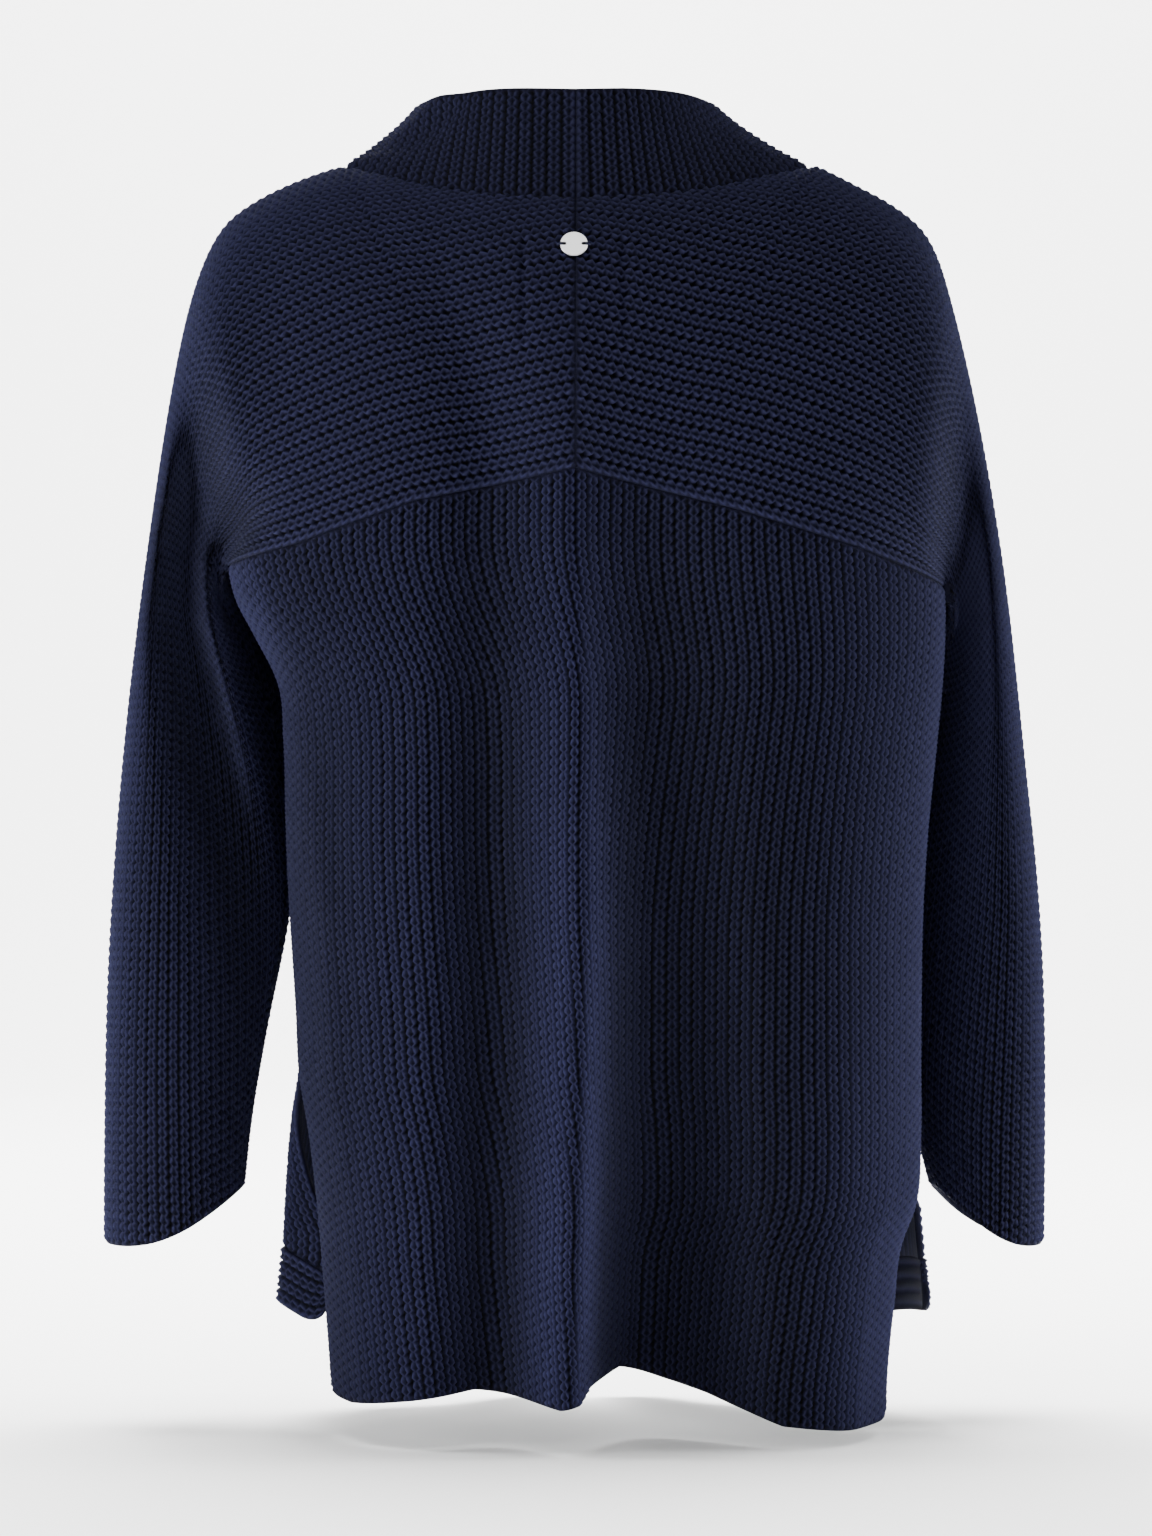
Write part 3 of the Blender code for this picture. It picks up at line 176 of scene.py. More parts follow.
# Top of the shoulder (x, y, z) at the stations from the high shoulder point on, as far as the yoke goes.
SHOULDERS = {
    1: [(0.1415, -0.005, -0.0004), (0.1665, -0.005, -0.009), (0.19, -0.006, -0.02),
        (0.2085, -0.007, -0.033), (0.22, -0.008, -0.05), (0.229, -0.009, -0.073)],
    -1: [(-0.1434, -0.005, 0.0006), (-0.1665, -0.0055, -0.011), (-0.19, -0.007, -0.0235),
         (-0.208, -0.009, -0.038), (-0.218, -0.011, -0.056), (-0.225, -0.014, -0.079)],
}
# Top of the arm and underarm at the stations from the underarm corner on; side is 1 on the wearer's left.
# lean turns the underarm cloth towards the front of the body, in degrees.
#    top of the arm (x, y, z), underarm (x, y, z), lean
ARMS = {1: [
    ((0.236, -0.01, -0.1), (0.208, 0.002, -0.2408), 5),
    ((0.243, -0.011, -0.136), (0.2136, -0.01, -0.262), 15),
    ((0.251, -0.012, -0.185), (0.199, -0.025, -0.292), 28),
    ((0.259, -0.013, -0.238), (0.185, -0.035, -0.33), 30),
    ((0.2665, -0.014, -0.296), (0.178, -0.04, -0.372), 30),
    ((0.273, -0.015, -0.356), (0.175, -0.04, -0.415), 28),
    ((0.2782, -0.015, -0.418), (0.1778, -0.036, -0.458), 20),
    ((0.2826, -0.015, -0.495), (0.1868, -0.028, -0.512), 10),
    ((0.284, -0.015, -0.578), (0.1955, -0.02, -0.568), 4),
    ((0.2842, -0.015, -0.6468), (0.2, -0.012, -0.615), 0),
], -1: [
    ((-0.232, -0.017, -0.106), (-0.219, 0.004, -0.2528), 5),
    ((-0.2405, -0.021, -0.143), (-0.2274, -0.004, -0.274), 17),
    ((-0.2495, -0.026, -0.19), (-0.221, -0.034, -0.304), 22),
    ((-0.2585, -0.031, -0.242), (-0.2176, -0.046, -0.343), 26),
    ((-0.266, -0.036, -0.299), (-0.2105, -0.054, -0.385), 28),
    ((-0.2725, -0.041, -0.359), (-0.2065, -0.06, -0.427), 28),
    ((-0.28, -0.045, -0.421), (-0.203, -0.064, -0.468), 26),
    ((-0.2852, -0.049, -0.498), (-0.2025, -0.066, -0.516), 20),
    ((-0.286, -0.053, -0.58), (-0.208, -0.066, -0.572), 12),
    ((-0.2855, -0.056, -0.651), (-0.218, -0.064, -0.618), 6),
]}

# Folds of the sleeves: side, back or front, reach away from and towards the body, and the fold's path:
# height, distance from the middle of the body, and how far it lifts (or sinks) the cloth.
SLEEVE_FOLDS = [
    (1, 0, 0.016, 0.022, [
        (-0.11, 0.212, 0.0), (-0.147, 0.219, -0.003), (-0.189, 0.228, -0.011), (-0.231, 0.236, -0.02),
        (-0.273, 0.237, -0.02), (-0.315, 0.23, -0.018), (-0.357, 0.224, -0.014), (-0.399, 0.213, -0.011),
        (-0.441, 0.205, -0.008), (-0.5, 0.2, -0.005), (-0.6, 0.205, -0.003)]),
    (1, 0, 0.009, 0.01, [
        (-0.2, 0.222, 0.0), (-0.24, 0.22, 0.007), (-0.273, 0.219, 0.009), (-0.315, 0.208, 0.009),
        (-0.357, 0.196, 0.007), (-0.4, 0.188, 0.004), (-0.45, 0.184, 0.0)]),
    (1, 0, 0.012, 0.016, [
        (-0.185, 0.196, 0.0), (-0.215, 0.2, -0.008), (-0.232, 0.203, -0.008), (-0.25, 0.205, 0.0)]),
    (-1, 0, 0.018, 0.018, [
        (-0.09, 0.212, 0.0), (-0.147, 0.222, -0.003), (-0.189, 0.227, -0.006), (-0.231, 0.229, -0.005),
        (-0.273, 0.232, -0.003), (-0.33, 0.236, 0.0)]),
    (1, 1, 0.014, 0.018, [
        (-0.11, 0.205, 0.0), (-0.16, 0.213, -0.009), (-0.21, 0.222, -0.013), (-0.26, 0.228, -0.01),
        (-0.33, 0.23, -0.006), (-0.42, 0.232, 0.0)]),
    (-1, 1, 0.014, 0.018, [
        (-0.11, 0.205, 0.0), (-0.16, 0.214, -0.01), (-0.21, 0.223, -0.013), (-0.27, 0.23, -0.009),
        (-0.35, 0.236, -0.005), (-0.43, 0.24, 0.0)]),
]

# -------- curves and grids

INSIDE = 1.000001  # keeps a look-up inside the last cell of a grid
TINY = 1e-9


def hermite(t):
    """Weights of a curve's start, its slope there, its end and its slope there, at t from 0 to 1."""
    return 2 * t**3 - 3 * t**2 + 1, t**3 - 2 * t**2 + t, 3 * t**2 - 2 * t**3, t**3 - t**2


def cubic(knots, rows, at):
    """Smooth curve through the rows of a table, read at given places."""
    k, v, at = np.asarray(knots, float), np.asarray(rows, float), np.asarray(at, float)
    step = np.diff(k)[:, None]
    rise = np.diff(v, axis=0) / step
    slope = np.empty_like(v)
    slope[1:-1] = (rise[:-1] * step[1:] + rise[1:] * step[:-1]) / (step[1:] + step[:-1])
    slope[0], slope[-1] = rise[0], rise[-1]
    i = np.clip(np.searchsorted(k, at, side="right") - 1, 0, len(k) - 2)
    h = (k[i + 1] - k[i])[..., None]
    a, b, c, d = hermite(np.clip((at - k[i])[..., None] / h, 0, 1))
    return a * v[i] + b * h * slope[i] + c * v[i + 1] + d * h * slope[i + 1]


def curve(table, at):
    """The same for a table whose first column holds the knots."""
    return cubic([r[0] for r in table], [r[1:] for r in table], at)


def unit(v):
    """Vectors brought to length 1."""
    return v / np.linalg.norm(v, axis=-1, keepdims=True)


def steps_of(points):
    """Distance from each point of a polyline (last axis but one) to the next."""
    return np.linalg.norm(np.diff(points, axis=-2), axis=-1)


def lengths(points):
    """How far along its polyline each point lies."""
    steps = steps_of(points)
    return np.concatenate([np.zeros_like(steps[..., :1]), np.cumsum(steps, axis=-1)], axis=-1)


def evenly(points, shares):
    """Points at given shares of the length of each polyline."""
    length = lengths(points)
    out = np.empty(points.shape[:-2] + (len(shares), 3))
    for i in np.ndindex(points.shape[:-2]):
        s = length[i] / length[i][-1]
        for c in range(3):
            out[i][:, c] = np.interp(shares, s, points[i][:, c])
    return out


class Grid:
    """A cloth surface tabled over two parameters, with its outward normals."""

    def __init__(self, a, b, points, outward):
        self.a, self.b, self.points = a, b, points
        n = np.cross(np.gradient(points, a, axis=0), np.gradient(points, b, axis=1))
        self.normals = unit(n) * outward

    def read(self, a, b):
        """Point and normal at parameters a and b."""
        a, b = np.broadcast_arrays(np.asarray(a, float), np.asarray(b, float))
        x, y = (np.clip(np.interp(v, k, np.arange(len(k))), 0, len(k) - INSIDE)
                for v, k in ((a, self.a), (b, self.b)))
        i, j = x.astype(int), y.astype(int)
        s, t = (x - i)[..., None], (y - j)[..., None]
        point, normal = ((1 - s) * (1 - t) * g[i, j] + s * (1 - t) * g[i + 1, j] + (1 - s) * t * g[i, j + 1]
                         + s * t * g[i + 1, j + 1] for g in (self.points, self.normals))
        return point, unit(normal)


# -------- the body

BODY_TOP, BODY_FOOT = -0.16, -0.76  # heights between which the body's surface is tabled
BODY_ROWS, BODY_COLUMNS, ARC_STEPS = 121, 181, 241
SIDE_FADE = 2.0  # how soon the body's folds fade in from the side seams
PLEAT_FADES = (0.14, 0.10)  # shares of a sleeve's half over which its folds fade in at the top and out again
LINE_ROUNDS = 8  # rounds that settle a seam's place on the curved body


def folded(folds, x, z):
    """How far the folds lift the cloth at x and z."""
    total = np.zeros(np.broadcast(x, z).shape)
    for _, x0, x1, x2, left, right, d0, d1, d2 in folds:
        centre, depth = (np.interp(-z, FOLD_DROPS, row) for row in ((x0, x1, x2), (d0, d1, d2)))
        total = total + depth * np.exp(-((x - centre) / np.where(x > centre, left, right)) ** 2)
    return total


def body_grid(table, folds, rear, span):
    """Back (rear = 1) or front (rear = -1) of the body over height and share of its width.

    span gives the two x at which the cloth starts and ends, or None where it is the side seam.
    Below the vents the left front wraps round the side, under the edge of the back.
    """
    z = np.linspace(BODY_TOP, BODY_FOOT, BODY_ROWS)
    level = z[:, None]
    own, of_back = (cubic([-r[0] for r in t], [r[1:] for r in t], -z).T[..., None] for t in (table, BACK))
    left, right, left_y, right_y = (np.where(level > VENT_TOPS[1 - 2 * (i % 2)], of_back[i], own[i])
                                    for i in range(4))
    depth, full = own[4:]
    middle, half = (left - right) / 2, (left + right) / 2
    ends = [np.zeros_like(level), np.full_like(level, 180.0)]
    for i, x in enumerate(span):
        if x is not None:
            cosine = (x - middle) / half
            ends[i] = np.degrees(np.arccos(np.sign(cosine) * np.abs(cosine) ** (full / 2)))
    if rear < 0 and span[0] is None:
        ends[0] = -WRAP * np.clip((VENT_TOPS[1] - level) / WRAP_RUN, 0, 1)
    angle = np.radians(ends[0] + (ends[1] - ends[0]) * np.linspace(0, 1, ARC_STEPS))
    c, s = np.cos(angle), np.sin(angle)
    x = middle + half * np.sign(c) * np.abs(c) ** (2 / full)
    level = np.broadcast_to(level, x.shape)
    depth = np.where(s < 0, -WRAP_DEPTH, depth)
    side = (left_y + right_y) / 2 + (left_y - right_y) / 2 * (x - middle) / half
    lift = folded(folds, x, level) * np.clip(s * SIDE_FADE, 0, 1) ** 2
    y = side + rear * (depth * np.abs(s) ** (2 / full) + lift)
    shares = np.linspace(0, 1, BODY_COLUMNS)
    return Grid(-z, shares, evenly(np.stack([x, y, level], -1), shares), rear)


def pleated(points, shares, side, front):
    """Lifts and sinks the cloth of a sleeve along its folds."""
    fade = np.clip(np.minimum(shares / PLEAT_FADES[0], (1 - shares) / PLEAT_FADES[1]), 0, 1)
    for owner, at_front, left, right, path in SLEEVE_FOLDS:
        if (owner, at_front) == (side, front):
            heights, places, depths = np.array(path)[::-1].T
            x, depth = (np.interp(points[..., 2], heights, v) for v in (places, depths))
            off = side * points[..., 0] - x
            lift = depth * np.exp(-(off / np.where(off > 0, left, right)) ** 2) * fade**2 * (3 - 2 * fade)
            points[..., 1] += -lift if front else lift
    return points


def line_height(grid, share, line):
    """Height at which a line drawn on the body, given as x and z, crosses each share of a panel's width."""
    z = np.full(np.shape(share), line[len(line) // 2][1])
    for _ in range(LINE_ROUNDS):
        z = np.interp(grid.read(-z, share)[0][..., 0], *np.array(line).T)
    return z


def rounded(z, grid, shares, ends):
    """A hem's height with its corner rounded at some of its ends (0 or 1)."""
    width = steps_of(grid.read(-z, shares)[0]).sum()
    for end in ends:
        t = np.clip(1 - np.abs(shares - end) * width / HEM_CORNER, 0, 1)
        z = z + HEM_CORNER * (1 - np.sqrt(1 - t**2))
    return z


# -------- yokes, sleeves and collar

STATION_STEPS, SECTION_STEPS, ARM_COLUMNS = 10, 121, 91
MOST_LEAN = 60  # degrees
SAG_RUN = 3  # stations over which the cuff's sag grows
COLLAR_COLUMNS, COLLAR_ROWS = 97, 41
COLLAR_BEND = ((0.47, 0.47, 0.58), (0.53, 0.53, 0.42))  # shares of its base and its top in its bend
SOFTENING = 70  # how many times a sleeve's surface is evened out over its neighbours
SOFT_FROM, SOFT_RUN = 3, 2  # station where that starts, and stations over which it grows
SOFT_EDGES = (0.10, 0.25)  # shares of a half's width over which it grows from its top and lower edge
PRESSING = 1.2  # share of the sleeves' main folds that is pressed in again after that


def neck_point(side, share, front):
    """Point of the neckline; side is 1 on the wearer's left and -1 on the right."""
    stretch = abs(SHOULDERS[side][0][0]) / SHOULDERS[1][0][0]
    widen = 1 + (stretch - 1) * np.asarray(share)
    one = np.ones_like(widen)
    return curve(NECK_FRONT if front else NECK_BACK, share) * np.stack([side * widen, one, one], -1)


def arm_grid(side, front, seam_of):
    """Half of a yoke and sleeve, over the station and the share of the way down from the top."""
    shoulder, arm, count = SHOULDERS[side], ARMS[side], len(STATIONS)
    u = np.linspace(0, count - 1, (count - 1) * STATION_STEPS + 1)
    at = np.arange(count)
    neck, seam, slope, top_pull, low_pull, turn, inward = cubic(
        at, [(s[1], s[2], s[3][front], *s[4 + front], s[6], s[7]) for s in STATIONS], u).T
    top = cubic(at[SHOULDER:], shoulder + [r[0] for r in arm], u)
    low = cubic(at[CORNER:], [r[1] for r in arm], u)
    lean = cubic(at[SHOULDER:], [(0,)] * len(shoulder) + [(r[2],) for r in arm], u)[:, 0]
    lean = np.radians(np.clip(lean, 0, MOST_LEAN))
    slope, turn = np.radians(np.clip((slope, turn), 0, 90))
    by_neck, by_seam = u < SHOULDER, u < CORNER
    top[by_neck] = neck_point(side, np.clip(neck[by_neck], 0, 1), front)
    low[by_seam] = seam_of(np.clip(seam[by_seam], 0, 1))
    away = -1.0 if front else 1.0
    top_way = np.stack([0 * u, away * np.cos(slope), -np.sin(slope)], -1) * top_pull[:, None]
    low_way = np.stack([-side * (away * np.sin(lean) * np.sin(turn) + inward),
                        -away * np.cos(lean) * np.sin(turn), -np.cos(turn)], -1) * low_pull[:, None]
    t = np.linspace(0, 1, SECTION_STEPS)[None, :, None]
    a, b, c, d = hermite(t)
    points = a * top[:, None] + b * top_way[:, None] + c * low[:, None] + d * low_way[:, None]
    sag = CUFF_SAG * np.clip((u - count + 1 + SAG_RUN) / SAG_RUN, 0, 1) ** 2
    points[..., 2] -= sag[:, None] * np.sin(np.pi * t[..., 0]) ** 2
    shares = np.linspace(0, 1, ARM_COLUMNS)
    return Grid(u, shares, pleated(evenly(points, shares), shares, side, front), side * away)


def softened(arm, side, front):
    """A sleeve's surface with its sharp turns rounded, as thick knitting falls.  Its edges stay."""
    points = arm.points.copy()
    along = np.clip(np.minimum(arm.a - SOFT_FROM, arm.a[-1] - arm.a) / SOFT_RUN, 0, 1)
    down = np.clip(np.minimum(arm.b / SOFT_EDGES[0], (1 - arm.b) / SOFT_EDGES[1]), 0, 1)
    weight = (along[:, None] * down)[1:-1, 1:-1, None]
    for _ in range(SOFTENING):
        inside = points[1:-1, 1:-1]
        mean = (points[:-2, 1:-1] + points[2:, 1:-1] + points[1:-1, :-2] + points[1:-1, 2:]) / 4
        points[1:-1, 1:-1] = inside + weight * (mean - inside)
    points += PRESSING * (pleated(points.copy(), arm.b, side, front) - points)
    return Grid(arm.a, arm.b, points, -side if front else side)


def blend_edges(arms):
    """Gives the two halves of a sleeve the same normals along the top and under the arm."""
    back, front = arms
    for station, column in ((SHOULDER, 0), (CORNER, -1)):
        rows = back.a >= station - TINY
        both = unit(back.normals[rows, column] + front.normals[rows, column])
        back.normals[rows, column] = front.normals[rows, column] = both


def collar_grid(side):
    """Half of the collar, over the share of the way round from the centre back and up from the neckline."""
    way, rows = np.linspace(0, 1, COLLAR_COLUMNS), np.linspace(0, 1, COLLAR_ROWS)
    base = np.where((way < 0.5)[:, None], neck_point(side, np.clip(2 * way, 0, 1), 0),
                    neck_point(side, np.clip(2 - 2 * way, 0, 1), 1))
    top = curve(COLLAR_TOP, way) * (side * COLLAR_LEAN[side], 1, 1)
    bend = base * COLLAR_BEND[0] + top * COLLAR_BEND[1]
    t = rows[None, :, None]
    points = (1 - t) ** 2 * base[:, None] + 2 * t * (1 - t) * bend[:, None] + t**2 * top[:, None]
    return Grid(way, rows, points, -side)


# -------- the knitting

AT_CENTRE = 1e-6  # ribs or stations this near the centre back lie on it
COURSE = 0.0056  # length of one stitch along a body rib
SLEEVE_COURSE = 0.0058
COLLAR_COURSES = 13
REFERENCE = 10  # station from which a sleeve's courses are counted
READ_STEPS = 30  # places in each station at which a sleeve's courses are measured
COLUMNS = 4  # columns of points in each rib: groove, leg, crease and leg

# How high each point stands also sets its colour: the lower it lies, the darker its painted shade.
# One stitch in three steps up a rib: how far its two legs lie from the rib's middle (in ribs),
# and how high the legs, the crease between them and the groove beside them stand (in metres).
#           legs at   legs      crease    groove
STITCH = [
    (0.11, -0.0005, -0.0007, -0.0044),
    (0.24,  0.0006, -0.0020, -0.0036),
    (0.33,  0.0002, -0.0030, -0.0026),
]
# The same for the yokes, whose ribs touch at every other stitch and leave small round holes.
YOKE_STITCH = [
    (0.12, -0.0004, -0.0007, -0.0046),
    (0.25,  0.0006, -0.0018, -0.0030),
    (0.35,  0.0004, -0.0026, -0.0014),
]
STEPS = len(STITCH)
YOKE_KNIT_END, YOKE_KNIT_FADE = -16.0, 10.0  # course where the sleeve's knit starts, and courses it takes
EDGE_DEPTH = 0.0016  # how far a piece's edge lies under its crests
EDGE_CLEAR, EDGE_COURSES = 0.12, 0.1  # ribs at a panel's sides and courses at its ends with no other points
EDGE_FADE = 0.45  # courses over which the stitches flatten towards the ends

# The inner face: spacing of its rows and wave across its ribs (m), and the heights that set its painted
# shade.
LINING_STEP, LINING_WAVE = 0.012, 0.0006
LINING_HEIGHT, LINING_SWING, SLEEVE_LINING_HEIGHT = -0.0012, 0.0010, -0.0014
LINING_STEPS, LINING_POINTS = 4, 57  # rows in each station of a sleeve, and points in a row
WELD = 0.00002  # joins the two halves of a sleeve where they meet

# Two short upright lines of stitches in the yoke beside the disc: x, top and foot (metres).
STITCH_LINES = ((0.0309, -0.052, -0.113), (-0.0274, -0.052, -0.113))
STITCH_LINE_WIDTH, STITCH_LINE_DEPTH = 0.0018, 0.0022

# Creases of the collar: side, rib and height (share) of both ends, width in ribs, and lift in metres.
COLLAR_CREASES = [
    (1, 8.8, 1.00, 13.2, 0.40, 1.7, -0.0042),
    (1, 11.4, 1.00, 15.0, 0.55, 1.5, 0.0022),
    (-1, 13.5, 0.55, 16.5, 0.10, 1.3, 0.0022),
    (1, 15.0, 0.30, 17.5, 0.05, 1.2, 0.0020),
    (-1, 24.0, 0.90, 21.0, 0.20, 2.2, -0.0026),
    (1, 25.0, 0.85, 22.5, 0.25, 2.0, -0.0022),
]
CREASE_HOLD, CREASE_FADE, CREASE_FOOT = 1.25, 1.7, 0.2  # how a crease fades at its ends and the neckline
COLLAR_TUCK, TUCK_COURSES = 0.003, 1.5  # how far the collar's lower edge reaches under the yokes

# Creases of the back besides its main folds; the columns are those of BACK_FOLDS.
BACK_CREASES = [
    ("left ridge",    0.124,  0.124,  0.120,  0.022,  0.020,  0.000,  0.005,  0.005),
    ("left trough",   0.056,  0.056,  0.054,  0.022,  0.022, -0.003, -0.007, -0.006),
    ("spine crest",  -0.001, -0.003,  0.000,  0.014,  0.012,  0.002,  0.007,  0.006),
    ("deep trough",  -0.040, -0.044, -0.044,  0.018,  0.032, -0.003, -0.008, -0.006),
    ("middle crease", -0.100, -0.106, -0.112,  0.012,  0.012,  0.001,  0.003,  0.003),
]
# Places where painted shade darkens the back's colour, written as folds that lift nothing.
BACK_PAINTED_SHADE = [
    ("left edge",     0.170,  0.164,  0.150,  0.026,  0.050, -0.004, -0.022, -0.022),
    ("right half",   -0.130, -0.130, -0.120,  0.050,  0.050, -0.004, -0.014, -0.022),
]
FOLD_SHADE, PLEAT_SHADE = 0.014, 0.008  # heights of the folds at which the painted shade in troughs and the painted light on ridges are full
COLLAR_PAINTED_SHADE = -0.45  # the collar's colour is darkened all over as painted shade
SLEEVE_MIDDLE = -0.035  # y where a sleeve's back half ends, for its painted shade


def shade_of_body(points):
    """Painted shade and light on the back: darker colour in its troughs, its left edge and its right half,
    lighter on its ridges.
    """
    return folded(BACK_FOLDS + BACK_CREASES + BACK_PAINTED_SHADE, points[:, 0], points[:, 2]) / FOLD_SHADE


def shade_of_sleeve(side):
    """The same painted shade and light for a sleeve, along its folds."""
    def shade(points):
        lifts = [(pleated(points.copy(), 0.5, side, front) - points)[:, 1] for front in (0, 1)]
        return np.where(points[:, 1] > SLEEVE_MIDDLE, lifts[0], -lifts[1]) / PLEAT_SHADE
    return shade


class Cloth:
    """Points and triangles of one knitted piece, with the height that sets each point's painted shade."""

    def __init__(self):
        self.points, self.heights, self.faces, self.count = [], [], [], 0

    def add(self, points, heights):
        """Adds points and gives their numbers."""
        index = np.arange(self.count, self.count + len(points))
        self.count += len(points)
        self.points.append(points)
        self.heights.append(np.broadcast_to(heights, len(points)))
        return index

    def zip(self, a, a_at, b, b_at):
        """Triangles between two rows of points, going along both by their parameters."""
        i = j = 0
        faces = []
        while i < len(a) - 1 or j < len(b) - 1:
            if j == len(b) - 1 or (i < len(a) - 1 and a_at[i + 1] <= b_at[j + 1] + TINY):
                faces.append((a[i], a[i + 1], b[j]))
                i += 1
            else:
                faces.append((a[i], b[j + 1], b[j]))
                j += 1
        self.faces.append(np.array(faces))

    def skin(self, table, turned=False):
        """Triangles over a table of point numbers; turned says in which columns the diagonal is turned."""
        a, b, c, d = table[:-1, :-1], table[1:, :-1], table[1:, 1:], table[:-1, 1:]
        turn = np.broadcast_to(np.reshape(turned, (-1, 1)), a.shape)[..., None]
        one = np.where(turn, np.stack([a, b, d], -1), np.stack([a, b, c], -1))
        two = np.where(turn, np.stack([b, c, d], -1), np.stack([a, c, d], -1))
        faces = np.concatenate([one.reshape(-1, 3), two.reshape(-1, 3)])
        self.faces.append(faces[(faces != np.roll(faces, 1, axis=1)).all(axis=1)])

    def finish(self, name, shade=None, weld=0.0):
        """The piece's object, with the stitch height and the folds' painted shade and light as attributes
        that set its colour.
        """
        points, faces = np.concatenate(self.points), np.concatenate(self.faces).astype(np.int32)
        # Painted shade in the folds' troughs and painted light on their ridges, from -1 to 1.
        tone = np.zeros(len(points)) if shade is None else np.clip(shade(points), -1, 1)
        mesh = bpy.data.meshes.new(name)
        mesh.vertices.add(len(points))
        mesh.vertices.foreach_set("co", points.astype(np.float32).ravel())
        mesh.loops.add(faces.size)
        mesh.loops.foreach_set("vertex_index", faces.ravel())
        mesh.polygons.add(len(faces))
        mesh.polygons.foreach_set("loop_start", np.arange(0, faces.size, 3, dtype=np.int32))
        # The height attribute paints shade into the stitches' grooves, and the second paints shade in the
        # folds' troughs and light on their ridges.
        for kind, values in (("height", np.concatenate(self.heights)), ("painted_fold_shade", tone)):
            mesh.attributes.new(kind, "FLOAT", "POINT").data.foreach_set("value", values.astype(np.float32))
        mesh.update(calc_edges=True)
        form = bmesh.new()
        form.from_mesh(mesh)
        if weld:
            bmesh.ops.remove_doubles(form, verts=form.verts, dist=weld)
        bmesh.ops.recalc_face_normals(form, faces=form.faces)
        if form.calc_volume(signed=True) < 0:
            bmesh.ops.reverse_faces(form, faces=form.faces)
        form.to_mesh(mesh)
        form.free()
        mesh.shade_smooth()
        return in_scene(name, mesh)


def in_scene(name, data):
    """A new object of the scene."""
    made = bpy.data.objects.new(name, data)
    bpy.context.scene.collection.objects.link(made)
    return made


def rib_lattice(first, last):
    """Rib coordinate, rib number and kind (0 groove, 1 and 3 legs, 2 crease) of each column of points."""
    ribs = np.arange(int(np.floor(first)), int(np.ceil(last)))
    number, kind = np.repeat(ribs, COLUMNS), np.tile(np.arange(COLUMNS), len(ribs))
    at = number + kind / COLUMNS
    keep = (at > first + EDGE_CLEAR) & (at < last - EDGE_CLEAR)

    ends = ((first, last), (int(np.floor(first)), int(np.floor(last))), (0, 0))
    return [np.concatenate([[a], values[keep], [b]]) for values, (a, b) in zip((at, number, kind), ends)]


def knit(cloth, lattice, start, end, read, yoke=False):
    """Outer face of a piece, a table of stitches, each rib half a stitch off its neighbours.

    start and end give the course at which each column of points begins and stops, and
    read(column, rib, course) gives points and normals.  The result is the table, its courses and the
    points of its two ends.
    """
    at, number, kind = lattice
    start, end, kind, odd = start[:, None], end[:, None], kind[:, None], (number % 2)[:, None]
    steps = np.arange(int(np.floor(start.min() * STEPS)) - 1, int(np.ceil(end.max() * STEPS)) + 2)
    course = steps / STEPS + odd / (2 * STEPS)
    phase = np.mod(steps + 2 * odd, STEPS)
    tile = np.array(STITCH)[phase]
    if yoke:
        share = np.clip((course - YOKE_KNIT_END) / YOKE_KNIT_FADE, 0, 1)[..., None]
        tile = share * tile + (1 - share) * np.array(YOKE_STITCH)[phase]
    legs, crest, crease, groove = np.moveaxis(tile, -1, 0)
    shift = np.select([kind == 1, kind == 3], [1 / COLUMNS - legs, legs - 1 / COLUMNS], 0.0)
    columns = np.broadcast_to(np.arange(len(at))[:, None], course.shape)
    side = (columns == 0) | (columns == len(at) - 1)
    height = np.where(side, -EDGE_DEPTH, np.select([kind == 0, kind == 2], [groove, crease], crest))
    near = np.minimum(course - start, end - course)
    height = height + (-EDGE_DEPTH - height) * np.clip(1 - near / EDGE_FADE, 0, 1)
    rib = at[:, None] + np.where(side, 0.0, shift)
    low, high = course <= start + EDGE_COURSES, course >= end - EDGE_COURSES
    free = ~(low | high)
    table = np.empty(course.shape, int)
    points, normals = read(columns[free], rib[free], course[free])
    table[free] = cloth.add(points + normals * height[free][:, None], height[free])
    edges = []
    for here, limit in ((low, start), (high, end)):
        points, normals = read(columns[:, 0], at, limit[:, 0])
        edges.append(cloth.add(points - normals * EDGE_DEPTH, -EDGE_DEPTH))
        table[here] = np.broadcast_to(edges[-1][:, None], course.shape)[here]
    cloth.skin(table, kind[:-1] >= 2)
    return table, course, *edges


def inner_depth(rib):
    """How far the inner face lies under the crests."""
    return (WALL + LINING_WAVE * np.cos(2 * np.pi * rib))[..., None]


def spread(first, last, parts):
    """Evenly spaced places, with as many steps as parts says, rounded, and at least two."""
    return np.linspace(first, last, max(int(round(parts)), 2) + 1)


def in_order(numbers):
    """The different point numbers of a row, in the order they come in, and where each comes first."""
    line, where = np.unique(numbers, return_index=True)
    order = np.argsort(where)
    return line[order], where[order]


